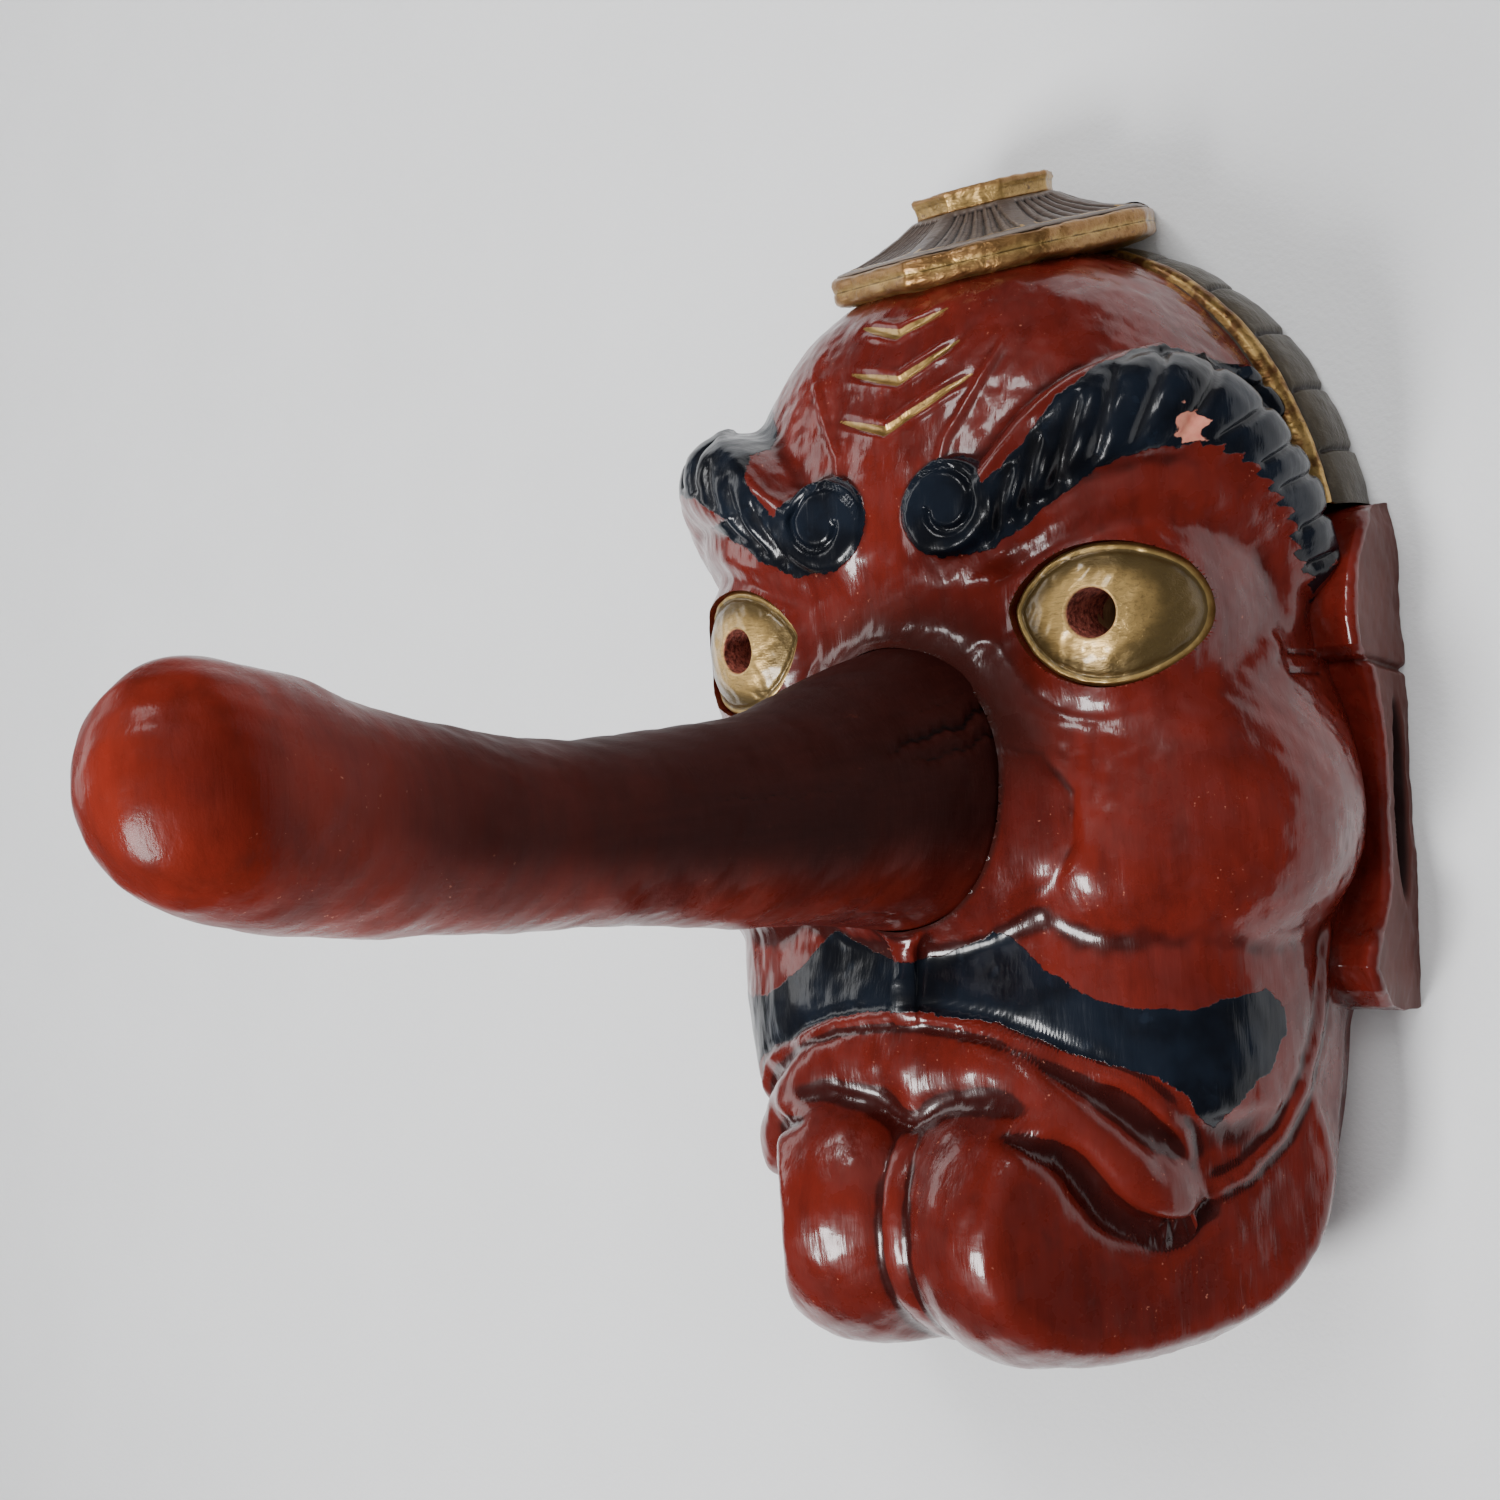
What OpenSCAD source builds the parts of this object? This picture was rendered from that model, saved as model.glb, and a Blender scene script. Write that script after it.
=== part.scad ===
// Carved wooden tengu wall mask with a plug-in nose, a small pleated cap and gilded eyes.
// The wearer's left is +X, the mask looks along -Y and its back rim lies in the plane y = 0.
// The origin is on the wall plane, level with the inner top of the hanging ring.

/* [Face] */
// Height of the hanging point above the middle of the mask
hang_z = 110; // [108:1:112]
// Half width of the carved block, without the ears
head_half_w = 85; // [83:0.5:87]
// Height of the widest level above the middle of the mask
wide_z = 20; // [18:1:22]
// Height from the widest level to the crown
crown_h = 110; // [108:1:112]
// Height from the widest level to the chin
jaw_h = 170; // [167:1:172]
// Depth of the block, from the wall plane to the face
face_d = 78; // [76:1:80]
// Wood left between the face and the hollow
wall_t = 15; // [14:0.5:17]

/* [Nose] */
// How far the tip of the nose stands in front of the wall plane
nose_tip = 305.5; // [300:0.5:310]
// Plane in which the nose root meets the face
nose_seat = 77; // [76:0.5:78]
// Radius of the tenon that plugs the nose into the face
tenon_r = 12; // [10:0.5:14]
// Radial running clearance of the tenon in its socket
tenon_gap = 0.05; // [0.02:0.01:0.08]
// How far the tenon reaches into the nose
tenon_grip = 20; // [18:1:21]

/* [Eyes] */
// Radius of the gilded eyeball
eye_r = 30; // [29.5:0.5:31]
// Thickness of the eye insert
eye_t = 8; // [6:0.5:9]
// Radius of the pupil hole
pupil_r = 5.9; // [4:0.1:7]

/* [Cap] */
// Corner radius of the eight-sided cap
cap_r = 46; // [44:0.5:47]
// Height of its gilded edge
cap_edge_h = 7; // [6:0.5:8]
// Rise of its pleated roof
cap_roof_h = 10; // [8:0.5:11]
// Height of the knob on top
cap_knob_h = 5.5; // [4:0.5:6]
// Forward lean of the cap, in degrees
cap_lean = 14; // [13:1:15]

/* [Band and ears] */
// Width of the head band, measured off the wall
band_d = 20; // [16:1:22]
// Half width over the bands
band_half_w = 93.5; // [93:0.5:95]
// Half width over the ears
ear_half_w = 96; // [95:0.5:98]
// Radius of the cord hole through each ear
cord_hole_r = 2; // [1.5:0.1:2.5]

/* [Hanger] */
// Depth of the pocket cut in the back for the hanger
pocket_d = 9; // [8.5:0.5:11]
// Radius of the ring's bow, to the middle of its wire
ring_r = 10.2; // [9.5:0.1:11]
// Radius of the ring's wire
wire_r = 1.2; // [1:0.1:1.3]
// Lean of the ring towards the wood, in degrees
ring_lean = 7; // [5:1:8]

/* [Hidden] */
$fn = 64;

// exponents of the block's outline above and below its widest level
upper_n = 2.25;
lower_n = 3.2;
// exponent of the side profile, and how much fuller it gets towards the chin
profile_m = 3.5;
chin_fullness = 4;
// height of the mask's top above its middle
top_z = 150;

// eyeball centre as [x, forward, z] and the two arcs of the almond opening
eye_c = [48, 50.6, 28];
eye_mid_x = 56;
eye_half_w = 24;
eye_corner_z = 30.5;
eye_rise = 14;
eye_drop = 20;
gaze = 11.5;

// cap: middle of its underside as [forward, z], spigot and knob
cap_at = [21.5, 126.4];
spigot_r = 30;
spigot_h = 9;
knob_r = 19.8;
cap_peg_r = 3.5;
cap_peg_depth = 12;

// ears: inner face, lowest and highest points, recess in the outer face
ear_seat_x = 80;
ear_top_z = 52;
ear_bottom_z = -73;
ear_notch_z = 13;
recess_d = 5;
ear_peg_r = 2.5;
ear_peg_z = [34, -58];
cord_hole_z = -22;
cord_hole_f = 7;

// hanger
strap_w = 12;
strap_t = 1.2;
barrel_r = 2.6;
barrel_gap = 0.05;
ring_z = hang_z - ring_r * cos(ring_lean) + wire_r;
ring_y = -pocket_d + barrel_r;
screw_z = [ring_z - 7.5, ring_z - 17];
screw_r = 1.4;
screw_head_r = 2.8;
screw_head_h = 1.6;
pocket_half_w = 17;
pocket_bottom = 70;
pocket_top = 119;

// hollow
hollow_half_w = head_half_w - wall_t;
hollow_up = 60;
hollow_down = jaw_h - wall_t;
hollow_d = 60;
boss_d = 44;

module in_frame() {
    translate([0, 0, -hang_z]) children();
}

module both_sides() {
    children();
    mirror([1, 0, 0]) children();
}

// a cylinder that points forward, from plane f0 to plane f1 in front of the wall
module forward_rod(x, z, r, f0, f1) {
    translate([x, -f0, z]) rotate([90, 0, 0]) cylinder(r = r, h = f1 - f0);
}

// ---- carved block: rings of points around the face, each level nearer to the wall ----

around = 48;
levels = 12;

// distance from the middle of the block to its outline, in the direction of angle a
function outline_r(a, w, up, down) =
    let (h = sin(a) > 0 ? up : down, n = sin(a) > 0 ? upper_n : lower_n)
    1 / pow(pow(abs(cos(a)) / w, n) + pow(abs(sin(a)) / h, n), 1 / n);

function hill(x, z, cx, cz, wx, wz) = exp(-pow((abs(x) - cx) / wx, 2) - pow((z - cz) / wz, 2));

// forward relief of the carving: chin, lips, cheeks, brows and the wings of the nose
function relief(x, z) =
    23 * hill(x, z, 0, -116, 42, 34)
    + 8 * hill(x, z, 0, -72, 46, 18)
    + 9 * hill(x, z, 56, -20, 20, 30)
    + 9 * hill(x, z, 42, 62, 26, 12)
    + 5 * hill(x, z, 0, 55, 30, 26);

// exponent of the side profile in the direction of angle a
function profile(a) = profile_m + (sin(a) < 0 ? chin_fullness * pow(sin(a), 2) : 0);

// a point of the outer skin: t runs from 0 at the middle of the face to 90 at the rim
function skin_point(a, t) =
    let (
        s = pow(sin(t), 2 / profile(a)),
        c = pow(cos(t), 2 / profile(a)),
        r = s * outline_r(a, head_half_w, crown_h, jaw_h),
        x = r * cos(a),
        z = wide_z + r * sin(a)
    )
    [x, -c * (face_d + relief(x, z)), z];

// a point of the hollow, which is shallower behind the nose
function hollow_point(a, t) =
    let (
        s = pow(sin(t), 2 / profile_m),
        c = pow(cos(t), 2 / profile_m),
        r = s * outline_r(a, hollow_half_w, hollow_up, hollow_down),
        x = r * cos(a),
        z = wide_z + r * sin(a),
        boss = (hollow_d - boss_d) * min(1, 1.6 * hill(x, z, 0, -10, 34, 34))
    )
    [x, -c * (hollow_d - boss), z];

function rings(k) = [
    for (i = [1 : levels]) for (j = [0 : around - 1])
        k == 0 ? skin_point(360 * j / around, 90 * i / levels)
               : hollow_point(360 * j / around, 90 * i / levels)
];

module carved_block() {
    size = around * levels;
    front = 2 * size;
    back = front + 1;
    last = (levels - 1) * around;
    points = concat(rings(0), rings(1), [skin_point(90, 0.01)], [hollow_point(90, 0.01)]);
    skin = [
        for (i = [0 : levels - 2]) for (j = [0 : around - 1])
            let (k = (j + 1) % around, p = i * around, q = p + around)
            each [[p + j, q + j, q + k], [p + j, q + k, p + k]]
    ];
    inside = [
        for (f = skin) [f[0] + size, f[2] + size, f[1] + size]
    ];
    caps = [
        for (j = [0 : around - 1])
            let (k = (j + 1) % around)
            each [[front, j, k], [back, size + k, size + j]]
    ];
    rim = [
        for (j = [0 : around - 1])
            let (k = (j + 1) % around)
            each [
                [last + j, last + size + j, last + size + k],
                [last + j, last + size + k, last + k]
            ]
    ];
    polyhedron(points = points, faces = concat(skin, inside, caps, rim));
}

module almond(f0, f1) {
    up_r = (eye_half_w * eye_half_w + eye_rise * eye_rise) / (2 * eye_rise);
    down_r = (eye_half_w * eye_half_w + eye_drop * eye_drop) / (2 * eye_drop);
    intersection() {
        forward_rod(eye_mid_x, eye_corner_z + eye_rise - up_r, up_r, f0, f1);
        forward_rod(eye_mid_x, eye_corner_z - eye_drop + down_r, down_r, f0, f1);
    }
}

module ear_outline() {
    polygon([
        [0, ear_top_z], [-13, ear_top_z - 1], [-24, ear_top_z - 12], [-29, ear_top_z - 26],
        [-27, ear_notch_z + 2], [-22, ear_notch_z - 2], [-17, ear_notch_z - 12],
        [-15, -25], [-17, -42], [-25, -52], [-27, -60], [-20, ear_bottom_z + 3],
        [-8, ear_bottom_z], [0, ear_bottom_z + 1]
    ]);
}

module ear_block(x0, x1) {
    translate([x0, 0, 0]) rotate([90, 0, 90]) linear_extrude(height = x1 - x0) ear_outline();
}

module ear_peg(z, r) {
    translate([ear_seat_x - 8, -10, z]) rotate([0, 90, 0]) cylinder(r = r, h = 16);
}

module cord_hole() {
    translate([40, -cord_hole_f, cord_hole_z]) rotate([0, 90, 0]) cylinder(r = cord_hole_r, h = 70);
}

// open notch in the back rim that leads the cord from the ear into the hollow
module cord_notch() {
    translate([50, -cord_hole_f - 4, cord_hole_z - 4]) cube([ear_seat_x - 50, cord_hole_f + 5, 8]);
}

module cap_axis(h) {
    translate([0, -cap_at[0], cap_at[1]]) rotate([cap_lean, 0, 0]) translate([0, 0, h]) children();
}

module in_front_of_wall() {
    intersection() {
        children();
        translate([-150, -150, 0]) cube([300, 150, top_z]);
    }
}

// the room that the eight-sided cap and its spigot take
module cap_room() {
    cap_axis(0) cylinder(r = cap_r, h = 40, $fn = 8);
    cap_axis(-spigot_h) cylinder(r = spigot_r, h = 40);
}

module cap_peg_shape() {
    cap_axis(-cap_peg_depth)
        cylinder(r = cap_peg_r, h = cap_peg_depth + cap_edge_h + cap_roof_h + 2);
}

module face_shell() {
    color("firebrick") in_frame() difference() {
        carved_block();
        forward_rod(0, -10.5, 37, nose_seat - 0.2, 130);
        forward_rod(0, -10.5, tenon_r + tenon_gap, 10, 130);
        both_sides() almond(20, 130);
        both_sides() translate([ear_seat_x, -30, ear_bottom_z]) cube([20, 31, ear_top_z - ear_bottom_z]);
        both_sides() for (z = ear_peg_z) ear_peg(z, ear_peg_r);
        both_sides() cord_notch();
        cap_room();
        cap_peg_shape();
        translate([-pocket_half_w, -pocket_d, pocket_bottom])
            cube([2 * pocket_half_w, pocket_d + 1, pocket_top - pocket_bottom]);
        for (z = screw_z) screw_shank(z);
    }
}

// ---- nose: a tube of elliptical rings along a gently rising line ----

// [forward, middle height, half height, half width] at chosen stations
nose_line = [
    [77, -10.5, 34.5, 32], [90, -10.5, 33, 30.5], [112, -12, 29, 27], [138, -14, 24.5, 23.5],
    [168, -13.7, 21.3, 21], [198, -13.2, 19.4, 19.6], [228, -10.4, 19.8, 20], [251, -6.6, 21.4, 21.2],
    [274, -2.1, 23.2, 22.6], [290, 1.2, 23, 22.5], [305.5, 3.5, 22.5, 22]
];
nose_sides = 36;
nose_steps = 34;

// smooth value of column k at parameter u, which counts stations
function along(u, k) =
    let (
        i = min(floor(u), len(nose_line) - 2),
        t = u - i,
        a = nose_line[max(i - 1, 0)][k],
        b = nose_line[i][k],
        c = nose_line[i + 1][k],
        d = nose_line[min(i + 2, len(nose_line) - 1)][k]
    )
    0.5 * (2 * b + (c - a) * t + (2 * a - 5 * b + 4 * c - d) * t * t
        + (3 * b - 3 * c + d - a) * t * t * t);

function nose_ring(s) =
    let (
        reach = nose_tip - nose_seat,
        body = reach - 22.5,
        f = s < 0.8 ? s / 0.8 * body : body + 22.5 * sin(90 * (s - 0.8) / 0.2),
        shrink = s < 0.8 ? 1 : cos(89.5 * (s - 0.8) / 0.2),
        u = station(nose_line[0][0] + f)
    )
    [for (j = [0 : nose_sides - 1])
        let (a = 360 * j / nose_sides)
        [along(u, 3) * shrink * cos(a), -nose_seat - f, along(u, 1) + along(u, 2) * shrink * sin(a)]];

// station count that belongs to a forward distance
function station(f, i = 0) =
    i >= len(nose_line) - 2 || f < nose_line[i + 1][0]
        ? i + (f - nose_line[i][0]) / (nose_line[i + 1][0] - nose_line[i][0])
        : station(f, i + 1);

module nose_body() {
    points = [for (i = [0 : nose_steps]) each nose_ring(i / nose_steps)];
    walls = [
        for (i = [0 : nose_steps - 1]) for (j = [0 : nose_sides - 1])
            let (k = (j + 1) % nose_sides, p = i * nose_sides, q = p + nose_sides)
            each [[p + j, p + k, q + k], [p + j, q + k, q + j]]
    ];
    root = [[for (j = [nose_sides - 1 : -1 : 0]) j]];
    tip = [[for (j = [0 : nose_sides - 1]) nose_steps * nose_sides + j]];
    polyhedron(points = points, faces = concat(walls, root, tip));
}

module nose() {
    color("maroon") in_frame() difference() {
        nose_body();
        forward_rod(0, -10.5, tenon_r, nose_seat - 1, nose_seat + tenon_grip);
    }
}

module nose_tenon() {
    color("peru") in_frame() forward_rod(0, -10.5, tenon_r, boss_d, nose_seat + tenon_grip);
}

module eye() {
    difference() {
        intersection() {
            translate([eye_c[0], -eye_c[1], eye_c[2]]) sphere(r = eye_r, $fn = 160);
            almond(eye_c[1], 100);
        }
        translate([eye_c[0], -eye_c[1], eye_c[2]]) sphere(r = eye_r - eye_t, $fn = 160);
        translate([eye_c[0], -eye_c[1], eye_c[2]]) rotate([90, 0, gaze]) cylinder(r = pupil_r, h = 60);
    }
}

module eye_left() {
    color("goldenrod") in_frame() eye();
}

module eye_right() {
    color("goldenrod") in_frame() mirror([1, 0, 0]) eye();
}

module cap_base() {
    color("gold") in_frame() in_front_of_wall() difference() {
        union() {
            cap_axis(0) cylinder(r = cap_r, h = cap_edge_h, $fn = 8);
            cap_axis(-spigot_h) cylinder(r = spigot_r, h = spigot_h);
        }
        cap_peg_shape();
    }
}

module cap_roof() {
    color("saddlebrown") in_frame() in_front_of_wall() difference() {
        cap_axis(cap_edge_h) cylinder(r1 = cap_r - 1, r2 = knob_r + 1, h = cap_roof_h, $fn = 8);
        cap_peg_shape();
    }
}

module cap_knob() {
    color("gold") in_frame() in_front_of_wall() difference() {
        cap_axis(cap_edge_h + cap_roof_h) cylinder(r = knob_r, h = cap_knob_h, $fn = 8);
        cap_peg_shape();
    }
}

module cap_peg() {
    color("peru") in_frame() in_front_of_wall() cap_peg_shape();
}

// outline of the head enlarged to half width w and crown height up, from angle a0 to a1
function outline_arc(w, up, a0, a1, steps) = [
    for (i = [0 : steps])
        let (a = a0 + (a1 - a0) * i / steps, r = outline_r(a, w, up, jaw_h))
        [r * cos(a), wide_z + r * sin(a)]
];

module band() {
    first = 17;
    last = 76;
    difference() {
        rotate([90, 0, 0]) linear_extrude(height = band_d) polygon(concat(
            outline_arc(band_half_w, crown_h + 2.5, first, last, 24),
            outline_arc(head_half_w - 0.4, crown_h - 0.4, last, first, 24)
        ));
        translate([0, -50, 0]) cube([150, 60, ear_top_z]);
        cap_room();
    }
}

module band_left() {
    color("olive") in_frame() band();
}

module band_right() {
    color("olive") in_frame() mirror([1, 0, 0]) band();
}

module ear() {
    difference() {
        ear_block(ear_seat_x, ear_half_w);
        translate([ear_half_w - recess_d, 0, 0]) rotate([90, 0, 90]) linear_extrude(height = 20)
            intersection() {
                translate([-39, cord_hole_z]) circle(r = 44);
                translate([25, cord_hole_z]) circle(r = 44);
                translate([-14, cord_hole_z - 40]) square([12, 80]);
            }
        translate([ear_half_w - 7, -31, ear_notch_z - 1]) cube([20, 32, 2]);
        for (z = ear_peg_z) ear_peg(z, ear_peg_r);
        cord_hole();
    }
}

module ear_left() {
    color("firebrick") in_frame() ear();
}

module ear_right() {
    color("firebrick") in_frame() mirror([1, 0, 0]) ear();
}

module ear_pegs() {
    color("peru") in_frame() both_sides() for (z = ear_peg_z) ear_peg(z, ear_peg_r);
}

module screw_shank(z) {
    translate([0, -pocket_d - 11, z]) rotate([-90, 0, 0]) cylinder(r = screw_r, h = 11 + strap_t);
}

module hanger_strap() {
    color("darkgoldenrod") in_frame() difference() {
        union() {
            translate([-strap_w / 2, -pocket_d, ring_z - 22]) cube([strap_w, strap_t, 22]);
            translate([-strap_w / 2, ring_y, ring_z]) rotate([0, 90, 0]) cylinder(r = barrel_r, h = strap_w);
        }
        translate([-strap_w, ring_y, ring_z]) rotate([0, 90, 0])
            cylinder(r = wire_r + barrel_gap, h = 2 * strap_w);
        for (z = screw_z) screw_shank(z);
    }
}

module hanger_screws() {
    color("silver") in_frame() for (z = screw_z) {
        difference() {
            union() {
                screw_shank(z);
                translate([0, -pocket_d + strap_t, z]) rotate([-90, 0, 0])
                    cylinder(r = screw_head_r, h = screw_head_h);
            }
            translate([-4, -pocket_d + strap_t + screw_head_h - 0.7, z - 0.4]) cube([8, 2, 0.8]);
        }
    }
}

module hanger_ring() {
    color("darkgoldenrod") in_frame() translate([0, ring_y, ring_z]) rotate([ring_lean, 0, 0]) union() {
        rotate([90, 0, 0]) rotate_extrude(angle = 180) translate([ring_r, 0]) circle(r = wire_r, $fn = 32);
        translate([-ring_r, 0, 0]) rotate([0, 90, 0]) cylinder(r = wire_r, h = 2 * ring_r);
        for (x = [-ring_r, ring_r]) translate([x, 0, 0]) sphere(r = wire_r);
    }
}

face_shell();
nose();
nose_tenon();
eye_left();
eye_right();
cap_base();
cap_roof();
cap_knob();
cap_peg();
band_left();
band_right();
ear_left();
ear_right();
ear_pegs();
hanger_strap();
hanger_screws();
hanger_ring();
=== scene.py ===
import math

import bpy
import numpy as np
from mathutils import Matrix, Vector


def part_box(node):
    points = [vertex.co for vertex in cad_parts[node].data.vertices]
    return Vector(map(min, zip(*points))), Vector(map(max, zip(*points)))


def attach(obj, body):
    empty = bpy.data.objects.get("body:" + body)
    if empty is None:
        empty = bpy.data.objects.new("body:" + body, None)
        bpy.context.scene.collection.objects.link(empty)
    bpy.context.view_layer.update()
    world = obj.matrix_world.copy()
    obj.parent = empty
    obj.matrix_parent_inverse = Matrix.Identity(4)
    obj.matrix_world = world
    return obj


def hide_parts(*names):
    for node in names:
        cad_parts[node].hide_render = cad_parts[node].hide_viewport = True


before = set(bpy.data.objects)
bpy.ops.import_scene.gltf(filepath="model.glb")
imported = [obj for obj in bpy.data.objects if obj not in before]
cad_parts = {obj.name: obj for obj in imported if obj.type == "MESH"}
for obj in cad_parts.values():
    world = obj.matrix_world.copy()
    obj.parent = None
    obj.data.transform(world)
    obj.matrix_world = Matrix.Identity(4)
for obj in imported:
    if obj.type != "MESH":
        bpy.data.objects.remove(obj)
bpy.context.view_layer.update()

# Face coordinates, in mm: x to the mask's left, f forward from the wall, z up.
# They hang on the CAD face block.
face_lo, face_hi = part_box("face_shell")
MIDDLE, WALL, CHIN = (face_lo[0] + face_hi[0]) / 2, face_hi[1], face_lo[2]
CHIN_Z = -150.0
SIDE = {1: "left", -1: "right"}


def row(P):
    """Face coordinates in mm to the row frame in metres."""
    P = np.asarray(P, float)
    x, f, z = P[..., 0] / 1000, P[..., 1] / 1000, (P[..., 2] - CHIN_Z) / 1000
    return np.stack([MIDDLE + x, WALL - f, CHIN + z], -1)


# ------------------------------ camera
TURN, TIP, ROLL = math.radians(40.0), math.radians(-0.04), math.radians(-3.84)
LENS, SENSOR, AIM, DISTANCE = 48.0, 36.0, (0, 139.5, 1.53), 0.4505


def place_camera():
    """The photo's camera: looks at AIM from DISTANCE metres, turned to the mask's left."""
    level = math.cos(TIP)
    back = np.array([math.sin(TURN) * level, -math.cos(TURN) * level, math.sin(TIP)])
    side = np.array([math.cos(TURN), math.sin(TURN), 0.0])
    up = np.cross(back, side)
    right = side * math.cos(ROLL) + up * math.sin(ROLL)
    top = up * math.cos(ROLL) - side * math.sin(ROLL)
    spot = row(AIM) + back * DISTANCE
    data = bpy.data.cameras.new("camera")
    data.lens, data.sensor_width, data.clip_start = LENS, SENSOR, 0.02
    cam = bpy.data.objects.new("camera", data)
    bpy.context.collection.objects.link(cam)
    m = Matrix.Identity(4)
    for i, axis in enumerate((right, top, back, spot)):
        for j in range(3):
            m[j][i] = axis[j]
    cam.matrix_world = m
    bpy.context.scene.camera = cam


place_camera()


# ------------------------------ small tools
def step(a, b, x):
    """0 at a and 1 at b, smooth between and held beyond; b may be the smaller."""
    t = np.clip((x - a) / (b - a), 0, 1)
    return t * t * (3 - 2 * t)


def smin(a, b, k):
    """The smaller of a and b, blended over a width k."""
    h = np.maximum(k - np.abs(a - b), 0) / k
    return np.minimum(a, b) - h * h * k * 0.25


def smax(a, b, k):
    """The larger of a and b, blended over a width k."""
    return -smin(-a, -b, k)


def hill(x, z, cx, cz, wx, wz):
    """A soft hill of height 1, mirrored left to right."""
    return np.exp(-((np.abs(x) - cx) / wx) ** 2 - ((z - cz) / wz) ** 2)


def lumps(P, size, seed, octaves=3):
    """Smooth hand-made unevenness, about -1 to 1, as sums of sines in odd directions."""
    rng = np.random.default_rng(seed)
    out = np.zeros(P.shape[:-1])
    total = 0.0
    for o in range(octaves):
        for _ in range(6):
            d = rng.normal(size=3)
            d *= 2 * math.pi / (size / 2 ** o) / np.linalg.norm(d)
            out += np.sin(P @ d + rng.uniform(0, 6.283)) * 0.5 ** o
        total += 0.5 ** o * 2.4
    return out / total


def catmull(pts, per):
    """Points of a smooth curve through pts, per points to each span."""
    P = np.asarray(pts, float)
    E = np.vstack([2 * P[0] - P[1], P, 2 * P[-1] - P[-2]])
    t = (np.arange(per) / per)[:, None]
    out = []
    for a, b, c, d in zip(E[:-3], E[1:-2], E[2:-1], E[3:]):
        out.append(0.5 * (2 * b + (c - a) * t + (2 * a - 5 * b + 4 * c - d) * t * t
                          + (3 * b - 3 * c + d - a) * t ** 3))
    return np.vstack(out + [P[-1:]])


def inside_distance(s, z, outline):
    """Signed distance in a plane to a closed outline, negative inside."""
    P = np.asarray(outline, float)
    Q = np.roll(P, -1, 0)
    best = np.full(s.shape, 1e9)
    inside = np.zeros(s.shape, bool)
    for (ax, az), (bx, bz) in zip(P, Q):
        dx, dz = bx - ax, bz - az
        t = np.clip(((s - ax) * dx + (z - az) * dz) / (dx * dx + dz * dz + 1e-9), 0, 1)
        best = np.minimum(best, np.hypot(s - ax - t * dx, z - az - t * dz))
        if dz:
            inside ^= ((az > z) != (bz > z)) & (s < dx * (z - az) / dz + ax)
    return np.where(inside, -best, best)


def line_distance(s, z, line):
    """Distance in a plane to an open line, and how far along it from 0 to 1 the nearest point lies."""
    P = np.asarray(line, float)
    seg = np.hypot(*np.diff(P, axis=0).T)
    run = np.concatenate([[0], np.cumsum(seg)]) / seg.sum()
    best, along = np.full(s.shape, 1e9), np.zeros(s.shape)
    for i, ((ax, az), (bx, bz)) in enumerate(zip(P[:-1], P[1:])):
        dx, dz = bx - ax, bz - az
        t = np.clip(((s - ax) * dx + (z - az) * dz) / (dx * dx + dz * dz + 1e-9), 0, 1)
        d = np.hypot(s - ax - t * dx, z - az - t * dz)
        near = d < best
        best = np.where(near, d, best)
        along = np.where(near, run[i] + t * (run[i + 1] - run[i]), along)
    return best, along


def boundary(inside, lo, hi, rounds):
    """The value between lo and hi up to which inside(value) holds, by halving."""
    for _ in range(rounds):
        mid = (lo + hi) / 2
        held = inside(mid)
        lo, hi = np.where(held, mid, lo), np.where(held, hi, mid)
    return lo


def around(n):
    """n angles, evenly once round."""
    return np.linspace(0, 2 * math.pi, n, endpoint=False)


def joined(*parts):
    """Arrays brought to one shape and laid side by side along a last axis."""
    return np.stack(np.broadcast_arrays(*parts), -1)


def grid_faces(nu, nv, wrap=False, flip=False):
    """Quads between rows of nv points; wrap joins the last column to the first."""
    i = np.arange(nu - 1)[:, None]
    j = np.arange(nv if wrap else nv - 1)[None, :]
    k = (j + 1) % nv
    q = joined(i * nv + j, (i + 1) * nv + j, (i + 1) * nv + k, i * nv + k)
    q = q.reshape(-1, 4)
    return q[:, ::-1] if flip else q


def grid_normals(G, wrap=False):
    """Unit normals of a grid of points, along (next row) x (next column)."""
    du = np.gradient(G, axis=0)
    dv = (np.roll(G, -1, 1) - np.roll(G, 1, 1)) if wrap else np.gradient(G, axis=1)
    n = np.cross(du, dv)
    return n / np.maximum(np.linalg.norm(n, axis=-1, keepdims=True), 1e-12)


def hollowness(G, n, wrap=False, rounds=3):
    """How far each grid point lies below the mean of its neighbours, so above 0 in creases."""
    M = G
    for _ in range(rounds):
        E = np.concatenate([M[:1], M, M[-1:]], 0)
        if wrap:
            M = (E[2:] + E[:-2] + np.roll(M, 1, 1) + np.roll(M, -1, 1)) / 4
        else:
            H = np.concatenate([M[:, :1], M, M[:, -1:]], 1)
            M = (E[2:] + E[:-2] + H[:, 2:] + H[:, :-2]) / 4
    return ((M - G) * n).sum(-1)


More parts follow.
